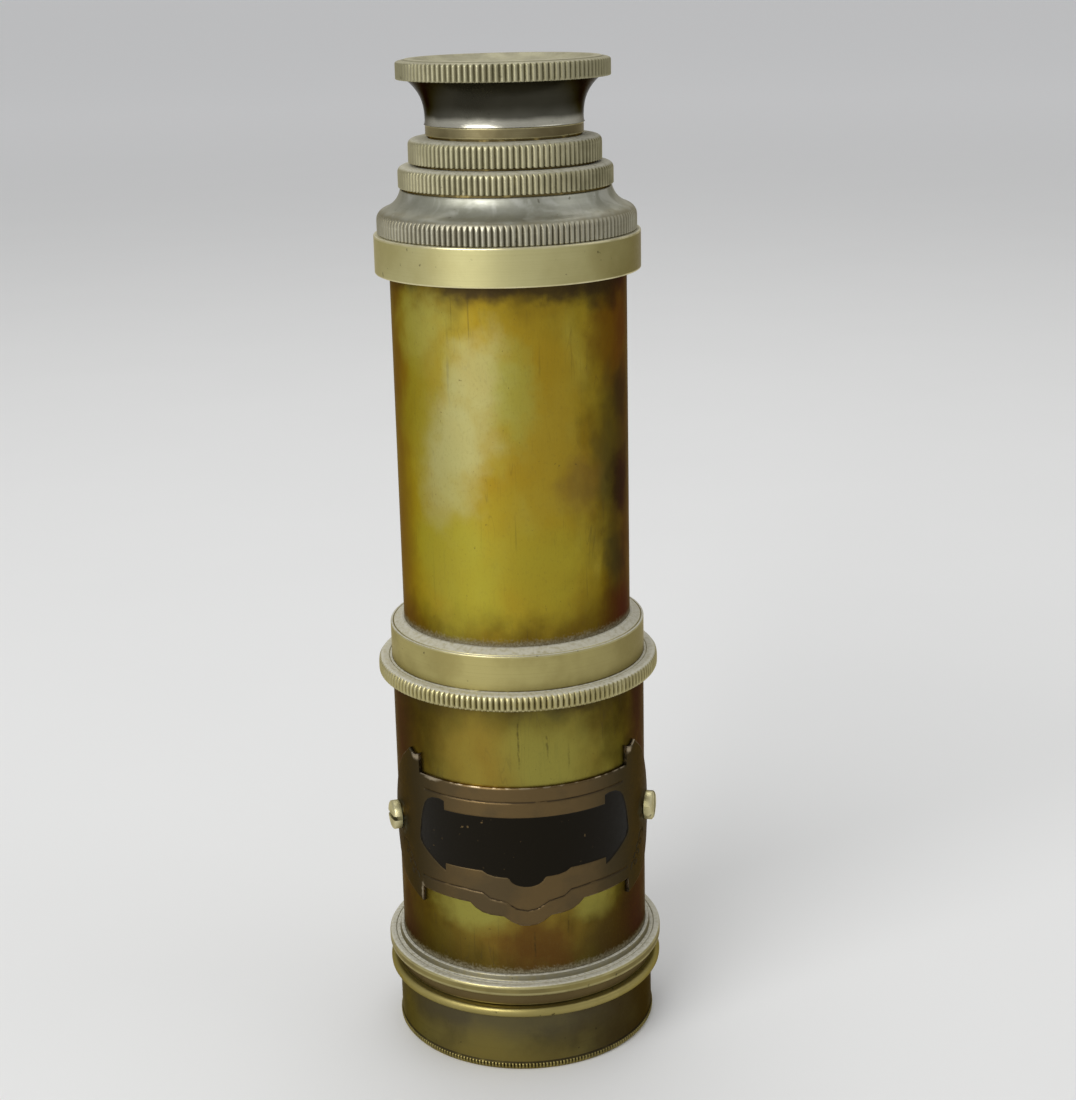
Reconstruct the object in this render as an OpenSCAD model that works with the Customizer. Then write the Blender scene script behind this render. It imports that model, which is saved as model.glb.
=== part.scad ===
// Three-draw brass spyglass, pushed fully together and standing on its lens cap.
// Millimetres. The origin is at the middle of the cap's flat underside, +Z runs up to the eyepiece.

/* [Lens cap] */
// How far the cap's wall stands out past the front tube
cap_over = 0.8; // [0.6:0.05:1.2]
// Wall thickness of the cap
cap_wall = 0.75; // [0.5:0.05:1]
// Thickness of the cap's floor
cap_floor = 0.9; // [0.6:0.1:1.4]
// Height of the cap up to its mouth
cap_h = 10.4; // [8:0.1:12]
// How far the ridge round the cap's mouth stands out from its wall
cap_ridge_out = 1.3; // [0.8:0.05:2]
// Height of the ridge round the cap's mouth
cap_ridge_h = 1.45; // [0.8:0.05:2.5]
// How far the milled edge at the cap's foot stands out from its wall
cap_edge_out = 0.2; // [0.1:0.05:0.5]
// Height of the milled edge at the cap's foot
cap_edge_h = 0.9; // [0.5:0.1:1.5]
// Room between the cap's floor and the front of the lens cell
cap_room = 1.2; // [0.6:0.1:2]

/* [Objective mount] */
// Open groove between the cap's mouth and the mount's ridge
mount_groove_h = 2; // [1:0.1:3]
// How far the shoulder at the bottom of that groove stands out past the cap's wall
mount_neck_out = 0.25; // [0.1:0.05:0.6]
// How far the mount's ridge stands out past the cap's ridge
mount_ridge_out = 0.1; // [0:0.05:0.4]
// Height of the mount's ridge
mount_ridge_h = 1.65; // [1:0.05:3]
// Height of the raised lip round the front tube, above the ridge
mount_lip_h = 0.85; // [0.4:0.05:1.5]
// Wall of the raised lip
mount_lip_wall = 0.5; // [0.3:0.05:0.8]
// Depth to which the front tube is sunk in the mount
mount_socket = 1.9; // [1.2:0.1:2.2]
// Wall of the nose that the cap slides over
nose_wall = 1.3; // [0.8:0.1:1.8]

/* [Objective lens] */
// Wall of the cell round the crown and flint lenses
cell_wall = 1.3; // [1:0.05:2]
// Depth of the cell in front of the lenses
cell_mouth = 4.1; // [3:0.1:5]
// Thickness of the cell's front flange
cell_flange_t = 0.8; // [0.5:0.05:1.2]
// How far the cell's front flange reaches over the nose
cell_flange_out = 0.9; // [0.6:0.05:1.2]
// Rim thickness of the crown lens
crown_edge = 1.6; // [1:0.1:2.4]
// Rim thickness of the flint lens
flint_edge = 2.9; // [2.2:0.1:3.4]
// Radius of the front face of the crown lens
crown_front_r = 150; // [110:1:260]
// Radius of the inner faces, shared by the crown and the flint
inner_face_r = 110; // [95:1:200]
// Height of the ring that holds the lenses in their cell
objective_ring_h = 1.4; // [1:0.1:2]
// Width of the ledge that the front lens rests on
lens_ledge = 0.85; // [0.5:0.05:1.2]
// Width of the spanner slots in that ring
spanner_slot_w = 0.8; // [0.6:0.05:1.2]
// Depth of the spanner slots
spanner_slot_deep = 0.6; // [0.4:0.05:0.9]

/* [Front tube] */
// Room all round between the main tube and the front tube's bore
front_room = 1.4; // [1:0.05:2]
// Wall thickness of the front tube
front_wall = 0.5; // [0.35:0.05:0.7]
// Length of the front tube between the mount's lip and the flange
front_show = 40.25; // [34:0.25:60]

/* [Plate] */
// Height of the plate across its middle
plate_h = 20.85; // [16:0.05:24]
// Thickness of the plate on the front tube
plate_t = 0.5; // [0.3:0.05:0.8]
// Height of the plate's middle above the mount's lip
plate_up = 19.4; // [16:0.1:22]
// Angle of each screw from the middle of the plate, in degrees
screw_angle = 75; // [73:0.5:76]
// Diameter of the screws' cheese heads
screw_head_d = 4.2; // [3.4:0.1:4.6]
// Height of the screws' heads
screw_head_h = 1.3; // [0.9:0.1:1.6]
// Diameter of the screws' shanks
screw_shank_d = 1.9; // [1.4:0.1:2.4]
// Width of the slot in a screw's head
screw_slot_w = 0.6; // [0.4:0.05:0.8]
// Depth of the slot in a screw's head
screw_slot_deep = 0.6; // [0.3:0.05:0.8]

/* [Joint collar] */
// How far the knurled flange stands out past the plain collar
flange_out = 1.9; // [1.2:0.05:2.6]
// Height of the flange
flange_h = 2.25; // [1.6:0.05:3.5]
// Number of flutes round the flange
flange_flutes = 155; // [80:1:170]
// Wall of the plain collar round the main tube
collar_wall = 1.95; // [1.6:0.05:2.4]
// Height of the plain collar's side
collar_h = 5.1; // [3:0.1:9]
// Rise of the collar's sloping top towards the tube
collar_rise = 0.7; // [0.3:0.05:1.2]
// Length of the spigot that enters the front tube
collar_spigot = 4; // [2:0.1:6]

/* [Main tube] */
// Room all round between the first draw and the main tube's bore
main_room = 1.75; // [1.3:0.05:2.2]
// Wall thickness of the main tube
main_wall = 0.5; // [0.35:0.05:0.7]
// Length of the main tube that shows between the two collars
main_show = 49; // [47:0.5:80]
// Distance between the lens cell and the inmost end of the main tube
main_clear = 6; // [4:0.1:20]
// Distance that the main tube reaches past the inmost end of the first draw
main_past = 0.75; // [0.4:0.05:1]

/* [Main tube's end] */
// Wall of the plain ring round the end of the main tube
end_ring_wall = 1.95; // [1.6:0.05:2.8]
// Height of the plain ring
end_ring_h = 5.15; // [3.5:0.05:8]
// How far the domed collar's knurled rim stands in from the plain ring
dome_in = 0.5; // [0.2:0.05:1]
// Height of the domed collar above the plain ring
dome_h = 5.85; // [5:0.05:7]
// Height of the knurled rim of the domed collar
dome_rim_h = 1.9; // [1.4:0.05:2.2]
// Number of flutes round the domed collar
dome_flutes = 139; // [80:1:150]
// Wall left round the bore at the dome's top
dome_lip = 0.3; // [0.25:0.05:0.5]
// Length of the domed collar's spigot inside the main tube
dome_spigot = 4; // [3:0.1:6]

/* [First draw] */
// Room all round between the second draw and the first draw's bore
draw_1_room = 1.4; // [1.1:0.05:1.8]
// Wall thickness of the first draw tube
draw_1_wall = 0.4; // [0.3:0.05:0.5]
// Height of the first draw's knurled collar
collar_1_h = 2.9; // [2.5:0.05:4]
// Wall of the collar outside the first draw tube
collar_1_wall = 0.6; // [0.5:0.05:0.9]
// Number of flutes round the first draw's collar
collar_1_flutes = 114; // [60:1:120]
// Length of the collar's sleeve inside the first draw tube
collar_1_sleeve = 5.5; // [4:0.1:8]

/* [Second draw] */
// Room all round between the third draw and the second draw's bore
draw_2_room = 1.5; // [1.1:0.05:1.8]
// Wall thickness of the second draw tube
draw_2_wall = 0.4; // [0.3:0.05:0.5]
// Distance between the inmost ends of the first and second draws
draw_2_in = 4.65; // [4.5:0.05:20]
// Height of the second draw's knurled collar
collar_2_h = 3.25; // [2.5:0.05:4.5]
// Wall of the collar outside the second draw tube
collar_2_wall = 0.9; // [0.6:0.05:1.2]
// Number of flutes round the second draw's collar
collar_2_flutes = 100; // [60:1:110]
// Length of the collar's sleeve inside the second draw tube
collar_2_sleeve = 5; // [4:0.1:8]

/* [Third draw] */
// Outside diameter of the third draw tube
draw_3_d = 20.4; // [18:0.1:22]
// Wall thickness of the third draw tube
draw_3_wall = 0.4; // [0.3:0.05:0.5]
// Distance between the inmost ends of the second and third draws
draw_3_in = 3.7; // [3.6:0.05:20]
// Depth to which the third draw tube goes into the bell
draw_3_socket = 1.3; // [1:0.05:2]
// Height of the plain collar at the third draw's end
collar_3_h = 1.4; // [1:0.05:2.5]
// Wall of the plain collar outside the third draw tube
collar_3_wall = 0.4; // [0.3:0.05:0.6]

/* [Stop rings] */
// Height of the stop rings on the inmost ends of the draws
stop_h = 4; // [3:0.1:4.6]
// Thickness of the ledge in each stop ring that the draw tube stands on
stop_ledge = 0.6; // [0.4:0.05:1]
// Width of that ledge inside the draw tube's wall
stop_ledge_in = 1; // [0.5:0.1:1.5]

/* [Eyepiece] */
// Height of the eyepiece's bell
bell_h = 5.9; // [5:0.05:8]
// How far the bell's mouth stands out past its foot
bell_flare = 2.4; // [1.8:0.05:3]
// How far the bell's foot turns out past the band under it
bell_foot_out = 0.15; // [0.05:0.05:0.25]
// Wall of the bell at its mouth, round the rim's spigot
bell_wall = 2.2; // [1.8:0.05:2.6]
// How far the eyepiece's knurled rim stands out past the bell's mouth
rim_out = 1.3; // [0.8:0.05:2]
// Height of the eyepiece's rim
rim_h = 2.6; // [2.2:0.05:3.5]
// Height of the rounding of the rim's shoulder
rim_round = 0.4; // [0.3:0.05:0.5]
// Width of that shoulder, round the rim's raised face
rim_shoulder = 1.1; // [1.05:0.05:1.4]
// How far the raised face stands above the shoulder
rim_step = 0.15; // [0.1:0.05:0.3]
// Number of flutes round the eyepiece's rim
rim_flutes = 110; // [60:1:120]
// Length of the spigot under the rim
rim_spigot_h = 1.3; // [0.9:0.05:1.6]
// Wall of the spigot under the rim
rim_spigot_wall = 1; // [0.7:0.05:1.4]
// Width of the rim left round the dish in its top
dish_in = 2.3; // [1.8:0.05:4]
// Depth of the dish
dish_deep = 1.3; // [0.8:0.05:1.6]
// Diameter of the eye hole
eye_hole_d = 8; // [5:0.1:11]

/* [Eyepiece lenses] */
// Length of the tube that holds the eyepiece's lenses
eye_tube_len = 30; // [26:0.5:34]
// Length of the tube that holds the erecting lenses
erector_len = 46; // [36:0.5:60]
// Wall of both lens tubes
lens_tube_wall = 0.4; // [0.3:0.05:0.6]
// Height of the field lens above the inmost end of its tube
field_lens_up = 6; // [4:0.1:9]
// Height of the front erecting lens above the inmost end of its tube
erector_front_up = 6; // [4:0.1:9]
// Depth of the rear erecting lens in its tube
erector_rear_in = 1; // [0.5:0.1:3]
// Rim thickness of the small lenses
small_edge = 1.2; // [0.8:0.05:1.6]
// Radius of the eye lens's round face
eye_lens_r = 20; // [17:0.5:30]
// Radius of the field lens's round face
field_lens_r = 28; // [18:0.5:45]
// Radius of the erecting lenses' round faces
erector_lens_r = 24; // [18:0.5:45]
// Height of the rings that hold the small lenses
small_ring_h = 1.2; // [0.8:0.05:2]
// Wall of the rings that hold the small lenses
small_ring_wall = 1; // [0.7:0.05:1.4]
// Height of the two stops
leaf_stop_h = 3.5; // [2:0.1:5]
// Thickness of the leaf across each stop
leaf_t = 0.5; // [0.3:0.05:0.8]
// Diameter of the hole in the eyepiece's field stop
field_stop_hole_d = 11; // [8:0.1:13]
// Diameter of the hole in the erector's stop
erector_stop_hole_d = 5; // [3:0.1:8]

/* [Knurling] */
// Depth of the flutes
flute_deep = 0.28; // [0.15:0.01:0.35]

/* [Fits] */
// Radial clearance of the sliding fits
slide_gap = 0.05; // [0.03:0.01:0.09]
// Gap between faces that stop against each other
face_gap = 0.3; // [0.2:0.05:0.5]
// Radial clearance of a lens in its cell
lens_gap = 0.05; // [0.02:0.01:0.1]

/* [Hidden] */
$fn = 96;
little = 0.01;

// Small bevels, and the rounding of knurled edges
edge_break = 0.15;
bevel = 0.25;
lean = 0.1;
knurl_round = 0.85;

// Radii of the tubes and of their bores, from the inmost draw outwards
draw_3_r = draw_3_d / 2;
draw_3_bore = draw_3_r - draw_3_wall;
draw_2_bore = draw_3_r + draw_2_room;
draw_2_r = draw_2_bore + draw_2_wall;
draw_1_bore = draw_2_r + draw_1_room;
draw_1_r = draw_1_bore + draw_1_wall;
main_bore = draw_1_r + main_room;
main_r = main_bore + main_wall;
front_bore = main_r + front_room;
front_r = front_bore + front_wall;

// Heights of the visible pieces, stacked up from the cap's underside
mount_neck_z = cap_h + face_gap;
mount_ridge_z = cap_h + mount_groove_h;
mount_ridge_top = mount_ridge_z + mount_ridge_h;
mount_lip_top = mount_ridge_top + mount_lip_h;
front_z = mount_lip_top - mount_socket;
flange_z = mount_lip_top + front_show;
flange_top = flange_z + flange_h;
collar_edge_z = flange_top + collar_h;
collar_top = collar_edge_z + collar_rise;
end_ring_z = collar_top + main_show;
dome_z = end_ring_z + end_ring_h;
dome_top = dome_z + dome_h;
collar_1_z = dome_top + face_gap;
collar_1_top = collar_1_z + collar_1_h;
collar_2_z = collar_1_top + face_gap;
collar_2_top = collar_2_z + collar_2_h;
collar_3_z = collar_2_top + face_gap;
bell_z = collar_3_z + collar_3_h;
rim_z = bell_z + bell_h;
rim_top = rim_z + rim_h;

// The lens cap, the objective mount's nose in it, and the cell in the nose
cap_r = front_r + cap_over;
cap_bore = cap_r - cap_wall;
cap_ridge_r = cap_r + cap_ridge_out;
nose_r = cap_bore - slide_gap;
nose_bore = nose_r - nose_wall;
cell_z = cap_floor + cap_room;
nose_z = cell_z + cell_flange_t;
lens_seat_r = nose_bore - cell_wall;
objective_r = lens_seat_r - lens_gap;
cell_clear_r = lens_seat_r - lens_ledge;
cell_ledge_z = cell_z + cell_mouth;
crown_edge_z = cell_ledge_z + 2 * lens_gap;
flint_edge_z = crown_edge_z + crown_edge + lens_gap;
flint_back_z = flint_edge_z + flint_edge;
objective_ring_z = flint_back_z + lens_gap;
cell_top = objective_ring_z + objective_ring_h;

// Inmost ends: each draw pulls out until its stop ring meets the sleeve above it
main_z = cell_top + main_clear;
stop_1_z = main_z + main_past;
stop_2_z = stop_1_z + draw_2_in;
stop_3_z = stop_2_z + draw_3_in;
collar_web = 0.8;

// The plate: [degrees, lower edge, upper edge] from its middle, one half, the other is its mirror
plate_z = mount_lip_top + plate_up;
plate_step = 3;
plate_half = [
    [0, -11.7, 9.15], [3.2, -11.65, 9.15], [7, -11.1, 9.15], [10.5, -10.3, 9.15],
    [16.5, -10.15, 9.15], [20, -9.9, 9.15], [23.5, -9.3, 9.15], [25.8, -8.6, 9.15],
    [51.9, -8.5, 9.15], [52.1, -8.5, 12], [52.5, -8.5, 11.9], [52.9, -10.8, 11.8],
    [55, -10.6, 11.55], [57, -10.4, 11.6], [59.5, -10.1, 12.15], [61, -9.9, 11.7],
    [66, -9.2, 10.4], [71, -7.9, 8.3], [75, -5.6, 5.6], [77.5, -3.4, 3.4], [79, -1.2, 1.2]];
plate_size = plate_h / (plate_half[0][2] - plate_half[0][1]);
plate_r = front_r + plate_t;
screw_end_in = 0.35;

// Eyepiece, and the lens tubes in the third draw
lens_tube_r = draw_3_bore - slide_gap;
lens_tube_bore = lens_tube_r - lens_tube_wall;
small_lens_r = lens_tube_bore - lens_gap;
draw_3_top = bell_z + draw_3_socket;
eye_tube_z = draw_3_top - eye_tube_len;
eye_lens_z = draw_3_top - lens_gap;
field_lens_z = eye_tube_z + field_lens_up;
erector_z = stop_3_z + stop_ledge;
erector_front_z = erector_z + erector_front_up;
erector_rear_z = erector_z + erector_len - erector_rear_in;
bell_foot_r = draw_3_r + collar_3_wall;
bell_mouth_r = bell_foot_r + bell_flare;
bell_web = 1;
rim_spigot_r = bell_mouth_r - bell_wall;
rim_r = bell_mouth_r + rim_out;
eye_hole_r = eye_hole_d / 2;
seat_ledge = 0.5;

// Height of a round lens face of radius face_r at distance r from the axis
function sag(face_r, r) = face_r - sqrt(face_r * face_r - r * r);

// Points of a curve that starts at a, leans to b and ends at c
function curve(a, b, c, steps = 8) =
    [for (i = [0:steps]) let (t = i / steps) (1 - t) * (1 - t) * a + 2 * t * (1 - t) * b + t * t * c];

// A turned piece from [radius, height] points
module turned(points) {
    rotate_extrude() polygon(points);
}

// A plain tube or ring
module ring(outer_r, inner_r, z, h) {
    translate([0, 0, z]) difference() {
        cylinder(r = outer_r, h = h);
        translate([0, 0, -1]) cylinder(r = inner_r, h = h + 2);
    }
}

// Cuts upright flutes into whatever part of a turned piece reaches past their depth
module fluted(r, flutes, z, h) {
    intersection() {
        children();
        translate([0, 0, z - 1]) linear_extrude(height = h + 2)
            polygon([for (i = [0:2 * flutes - 1]) let (a = 180 * i / flutes, d = (i % 2) * flute_deep)
                (r + little - d) * [cos(a), sin(a)]]);
    }
}

// A lens that is flat above and round below, with its rim's flat top at z
module plano_lens(z, face_r) {
    low = z - small_edge - sag(face_r, small_lens_r);
    intersection() {
        translate([0, 0, low - 1]) cylinder(r = small_lens_r, h = z - low + 1);
        translate([0, 0, low + face_r]) sphere(r = face_r, $fn = 200);
    }
}

// The ring under such a lens, just clear of its round face
module lens_ring(z, face_r) {
    inner_r = lens_tube_bore - small_ring_wall;
    top = z - small_edge - sag(face_r, small_lens_r) + sag(face_r, inner_r) - lens_gap;
    ring(lens_tube_bore, inner_r, top - small_ring_h, small_ring_h);
}

// A short sleeve with a thin leaf across it and a hole in the leaf
module stop_leaf_ring(z, hole_r) {
    difference() {
        translate([0, 0, z]) cylinder(r = lens_tube_bore, h = leaf_stop_h);
        translate([0, 0, z + leaf_t]) cylinder(r = lens_tube_bore - lens_tube_wall, h = leaf_stop_h);
        translate([0, 0, z - 1]) cylinder(r = hole_r, h = leaf_t + 2);
    }
}

// The ring on a draw's inmost end: it bears on the outer tube's bore and the draw stands on its ledge
module stop_ring(tube_r, tube_bore, outer_bore, z) {
    difference() {
        translate([0, 0, z]) cylinder(r = outer_bore - slide_gap, h = stop_h);
        translate([0, 0, z + stop_ledge]) cylinder(r = tube_r, h = stop_h);
        translate([0, 0, z - 1]) cylinder(r = tube_bore - stop_ledge_in, h = stop_h + 2);
    }
}

// A draw's collar: knurled outside, socket for its own tube, sleeve that guides the next draw
module draw_collar(wall, tube_r, tube_bore, next_r, z, h, sleeve, flutes, top_in) {
    r = tube_r + wall;
    guide_r = next_r + slide_gap;
    fluted(r, flutes, z - sleeve, h + sleeve)
        turned(concat(
            [[guide_r, z - sleeve], [tube_bore, z - sleeve], [tube_bore, z + h - collar_web],
                [tube_r, z + h - collar_web], [tube_r, z], [r, z]],
            curve([r, z + h - knurl_round], [r - lean, z + h - lean], [r - top_in, z + h]),
            [[guide_r, z + h]]));
}

module lens_cap() {
    color("#6b5f2e") {
        edge_r = cap_r + cap_edge_out;
        foot_bevel = cap_edge_h / 2;
        ridge_z = cap_h - cap_ridge_h;
        turned([[0, 0], [edge_r - foot_bevel, 0], [edge_r, foot_bevel], [edge_r, cap_edge_h],
            [cap_r, cap_edge_h + bevel], [cap_r, ridge_z], [cap_ridge_r - bevel, ridge_z],
            [cap_ridge_r, ridge_z + bevel], [cap_ridge_r, cap_h - bevel], [cap_ridge_r - bevel, cap_h],
            [cap_bore, cap_h], [cap_bore, cap_floor], [0, cap_floor]]);
    }
}

module objective_mount_ring() {
    color("#a08c3c") {
        neck_r = cap_r + mount_neck_out;
        ridge_r = cap_ridge_r + mount_ridge_out;
        lip_r = front_r + mount_lip_wall;
        turned([[nose_bore, nose_z], [nose_r, nose_z], [nose_r, mount_neck_z], [neck_r, mount_neck_z],
            [neck_r, mount_ridge_z], [ridge_r - bevel, mount_ridge_z], [ridge_r, mount_ridge_z + bevel],
            [ridge_r, mount_ridge_top - bevel], [ridge_r - bevel, mount_ridge_top],
            [lip_r + edge_break, mount_ridge_top], [lip_r, mount_ridge_top + edge_break],
            [lip_r, mount_lip_top - edge_break], [lip_r - edge_break, mount_lip_top],
            [front_r, mount_lip_top], [front_r, front_z], [nose_bore, front_z]]);
    }
}

module objective_cell() {
    flare = 0.7;
    flare_h = 2.4;
    color("#4a4430")
        turned([[cell_clear_r + flare, cell_z], [nose_bore + cell_flange_out, cell_z],
            [nose_bore + cell_flange_out, nose_z], [nose_bore, nose_z], [nose_bore, cell_top],
            [lens_seat_r, cell_top], [lens_seat_r, cell_ledge_z], [cell_clear_r, cell_ledge_z],
            [cell_clear_r, cell_z + flare_h]]);
}

module objective_crown_lens() {
    color("#cfe3e6") {
        r = objective_r;
        low = crown_edge_z - sag(crown_front_r, r);
        high = crown_edge_z + crown_edge + sag(inner_face_r, r);
        intersection() {
            translate([0, 0, low - 1]) cylinder(r = r, h = high - low + 2);
            translate([0, 0, low + crown_front_r]) sphere(r = crown_front_r, $fn = 200);
            translate([0, 0, high - inner_face_r]) sphere(r = inner_face_r, $fn = 200);
        }
    }
}

module objective_flint_lens() {
    color("#c6dccf") {
        r = objective_r;
        hollow_z = flint_edge_z + sag(inner_face_r, r) - inner_face_r;
        difference() {
            translate([0, 0, flint_edge_z]) cylinder(r = r, h = flint_edge);
            translate([0, 0, hollow_z]) sphere(r = inner_face_r, $fn = 200);
        }
    }
}

module objective_retaining_ring() {
    color("#3d382b") difference() {
        ring(lens_seat_r, cell_clear_r, objective_ring_z, objective_ring_h);
        translate([-lens_seat_r - 1, -spanner_slot_w / 2, cell_top - spanner_slot_deep])
            cube([2 * lens_seat_r + 2, spanner_slot_w, 2 * spanner_slot_deep]);
    }
}

module front_tube() {
    color("#96812c") difference() {
        ring(front_r, front_bore, front_z, flange_z - front_z);
        screw_holes();
    }
}

// The two holes for the plate's screws
module screw_holes() {
    for (side = [-1, 1]) rotate([0, 0, side * screw_angle - 90]) translate([front_bore - 1, 0, plate_z])
        rotate([0, 90, 0]) cylinder(r = screw_shank_d / 2, h = plate_t + front_wall + 2);
}

// Columns of the plate from one end to the other, with long stretches cut into short ones
function plate_columns(rows) = concat(
    [for (i = [0:len(rows) - 2])
        let (a = rows[i], b = rows[i + 1], n = ceil((b[0] - a[0]) / plate_step))
            for (k = [0:n - 1]) a + (b - a) * k / n],
    [rows[len(rows) - 1]]);

module plate() {
    left = [for (i = [len(plate_half) - 1:-1:1])
        [-plate_half[i][0], plate_half[i][1], plate_half[i][2]]];
    columns = plate_columns(concat(left, plate_half));
    n = len(columns);
    points = [for (c = columns) for (corner = [[front_r + little, c[1]], [plate_r, c[1]],
            [plate_r, c[2]], [front_r + little, c[2]]])
        [corner[0] * sin(c[0]), -corner[0] * cos(c[0]), plate_z + plate_size * corner[1]]];
    faces = concat([[3, 2, 1, 0], [for (k = [0:3]) 4 * (n - 1) + k]],
        [for (i = [0:n - 2]) for (k = [0:3])
            [4 * i + k, 4 * i + (k + 1) % 4, 4 * (i + 1) + (k + 1) % 4, 4 * (i + 1) + k]]);
    color("#8a6440") difference() {
        polyhedron(points, faces);
        screw_holes();
    }
}

module plate_screws() {
    shank_h = plate_t + front_wall + screw_end_in;
    color("#c2ab62") for (side = [-1, 1]) rotate([0, 0, side * screw_angle - 90])
        translate([plate_r + little, 0, plate_z]) rotate([0, 90, 0]) difference() {
            union() {
                cylinder(r = screw_head_d / 2, h = screw_head_h);
                translate([0, 0, -shank_h]) cylinder(r = screw_shank_d / 2 - little, h = shank_h + little);
            }
            translate([-screw_head_d, -screw_slot_w / 2, screw_head_h - screw_slot_deep])
                cube([2 * screw_head_d, screw_slot_w, screw_head_h]);
        }
}

module joint_collar() {
    color("#a3935a") {
        collar_r = main_r + collar_wall;
        flange_r = collar_r + flange_out;
        flange_round = 1.2;
        lip = 0.45;
        top_land = 0.35;
        fluted(flange_r, flange_flutes, flange_z - collar_spigot, collar_top - flange_z + collar_spigot)
            turned(concat(
                [[main_r, flange_z - collar_spigot], [front_bore, flange_z - collar_spigot],
                    [front_bore, flange_z], [flange_r, flange_z]],
                curve([flange_r, flange_z + flange_h / 2], [flange_r - lean / 2, flange_top - lean],
                    [flange_r - flange_round, flange_top]),
                [[collar_r, flange_top], [collar_r, collar_edge_z - edge_break],
                    [collar_r - edge_break, collar_edge_z], [collar_r - lip, collar_edge_z],
                    [collar_r - lip, collar_edge_z + edge_break], [main_r + top_land, collar_top],
                    [main_r, collar_top]]));
    }
}

module main_tube() {
    color("#b09a1e") ring(main_r, main_bore, main_z, dome_z - main_z);
}

module tube_end_ring() {
    color("#b7a856") {
        r = main_r + end_ring_wall;
        turned([[main_r, end_ring_z], [r - edge_break, end_ring_z], [r, end_ring_z + edge_break],
            [r, dome_z - bevel], [r - bevel, dome_z], [main_r, dome_z]]);
    }
}

module barrel_collar() {
    color("#8d8c80") {
        guide_r = draw_1_r + slide_gap;
        top_r = guide_r + dome_lip;
        r = main_r + end_ring_wall - dome_in;
        wide = r - top_r;
        waist = [top_r + 0.72 * wide, dome_z + 0.56 * dome_h];
        fluted(r, dome_flutes, dome_z - dome_spigot, dome_h + dome_spigot)
            turned(concat(
                [[guide_r, dome_z - dome_spigot], [main_bore, dome_z - dome_spigot],
                    [main_bore, dome_z], [r - edge_break, dome_z], [r, dome_z + edge_break]],
                curve([r, dome_z + dome_rim_h], [r, waist[1] - 0.07 * dome_h], waist),
                curve(waist, [top_r + 0.15 * wide, waist[1] + 0.12 * dome_h], [top_r, dome_top]),
                [[guide_r, dome_top]]));
    }
}

module draw_1_tube() {
    color("#b8a04a")
        ring(draw_1_r, draw_1_bore, stop_1_z + stop_ledge, collar_1_top - collar_web - stop_1_z - stop_ledge);
}

module draw_1_collar() {
    color("#8b8154")
        draw_collar(collar_1_wall, draw_1_r, draw_1_bore, draw_2_r,
            collar_1_z, collar_1_h, collar_1_sleeve, collar_1_flutes, 1.1);
}

module draw_1_stop_ring() {
    color("#4a4430") stop_ring(draw_1_r, draw_1_bore, main_bore, stop_1_z);
}

module draw_2_tube() {
    color("#b8a04a")
        ring(draw_2_r, draw_2_bore, stop_2_z + stop_ledge, collar_2_top - collar_web - stop_2_z - stop_ledge);
}

module draw_2_collar() {
    color("#8f8658")
        draw_collar(collar_2_wall, draw_2_r, draw_2_bore, draw_3_r,
            collar_2_z, collar_2_h, collar_2_sleeve, collar_2_flutes, 1);
}

module draw_2_stop_ring() {
    color("#4a4430") stop_ring(draw_2_r, draw_2_bore, draw_1_bore, stop_2_z);
}

module draw_3_tube() {
    color("#b8a04a")
        ring(draw_3_r, draw_3_bore, stop_3_z + stop_ledge, draw_3_top - stop_3_z - stop_ledge);
}

module draw_3_collar() {
    color("#746a45") ring(bell_foot_r, draw_3_r, collar_3_z, collar_3_h);
}

module draw_3_stop_ring() {
    color("#4a4430") stop_ring(draw_3_r, draw_3_bore, draw_2_bore, stop_3_z);
}

module eyepiece_bell() {
    color("#3f3b30") {
        seat_r = lens_tube_bore - seat_ledge;
        thread_z = rim_z - rim_spigot_h - lean;
        turned(concat(
            [[draw_3_r, bell_z]],
            curve([bell_foot_r + bell_foot_out, bell_z], [bell_foot_r, bell_z + bell_foot_out],
                [bell_foot_r, bell_z + 4 * bell_foot_out], 6),
            [for (i = [3:12]) let (t = i / 12)
                [bell_foot_r + bell_flare * pow(t, 3), bell_z + bell_h * t]],
            [[rim_spigot_r, rim_z], [rim_spigot_r, thread_z],
                [draw_3_bore, thread_z - (rim_spigot_r - draw_3_bore) / 2],
                [draw_3_bore, draw_3_top + bell_web], [seat_r, draw_3_top + bell_web],
                [seat_r, draw_3_top], [draw_3_r, draw_3_top]]));
    }
}

module eyepiece_rim() {
    color("#958c62") {
        inner_r = rim_spigot_r - rim_spigot_wall;
        dish_r = rim_r - dish_in;
        dish_low = rim_top - dish_deep;
        shoulder_z = rim_top - rim_step;
        fluted(rim_r, rim_flutes, rim_z - rim_spigot_h, rim_h + rim_spigot_h)
            turned(concat(
                [[eye_hole_r, rim_z], [inner_r, rim_z], [inner_r, rim_z - rim_spigot_h],
                    [rim_spigot_r, rim_z - rim_spigot_h], [rim_spigot_r, rim_z],
                    [rim_r - edge_break, rim_z], [rim_r, rim_z + edge_break]],
                curve([rim_r, shoulder_z - rim_round], [rim_r - lean, shoulder_z - lean],
                    [rim_r - 2 * rim_round, shoulder_z]),
                [[rim_r - rim_shoulder, shoulder_z], [rim_r - rim_shoulder - rim_step, rim_top]],
                curve([dish_r, rim_top], [dish_r - 1.5, dish_low + lean], [eye_hole_r + 1, dish_low]),
                [[eye_hole_r, dish_low]]));
    }
}

module eyepiece_lens_tube() {
    color("#3a352a") ring(lens_tube_r, lens_tube_bore, eye_tube_z, eye_tube_len);
}

module eye_lens() {
    color("#cfe3e6") plano_lens(eye_lens_z, eye_lens_r);
}

module eye_lens_ring() {
    color("#3d382b") lens_ring(eye_lens_z, eye_lens_r);
}

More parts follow.
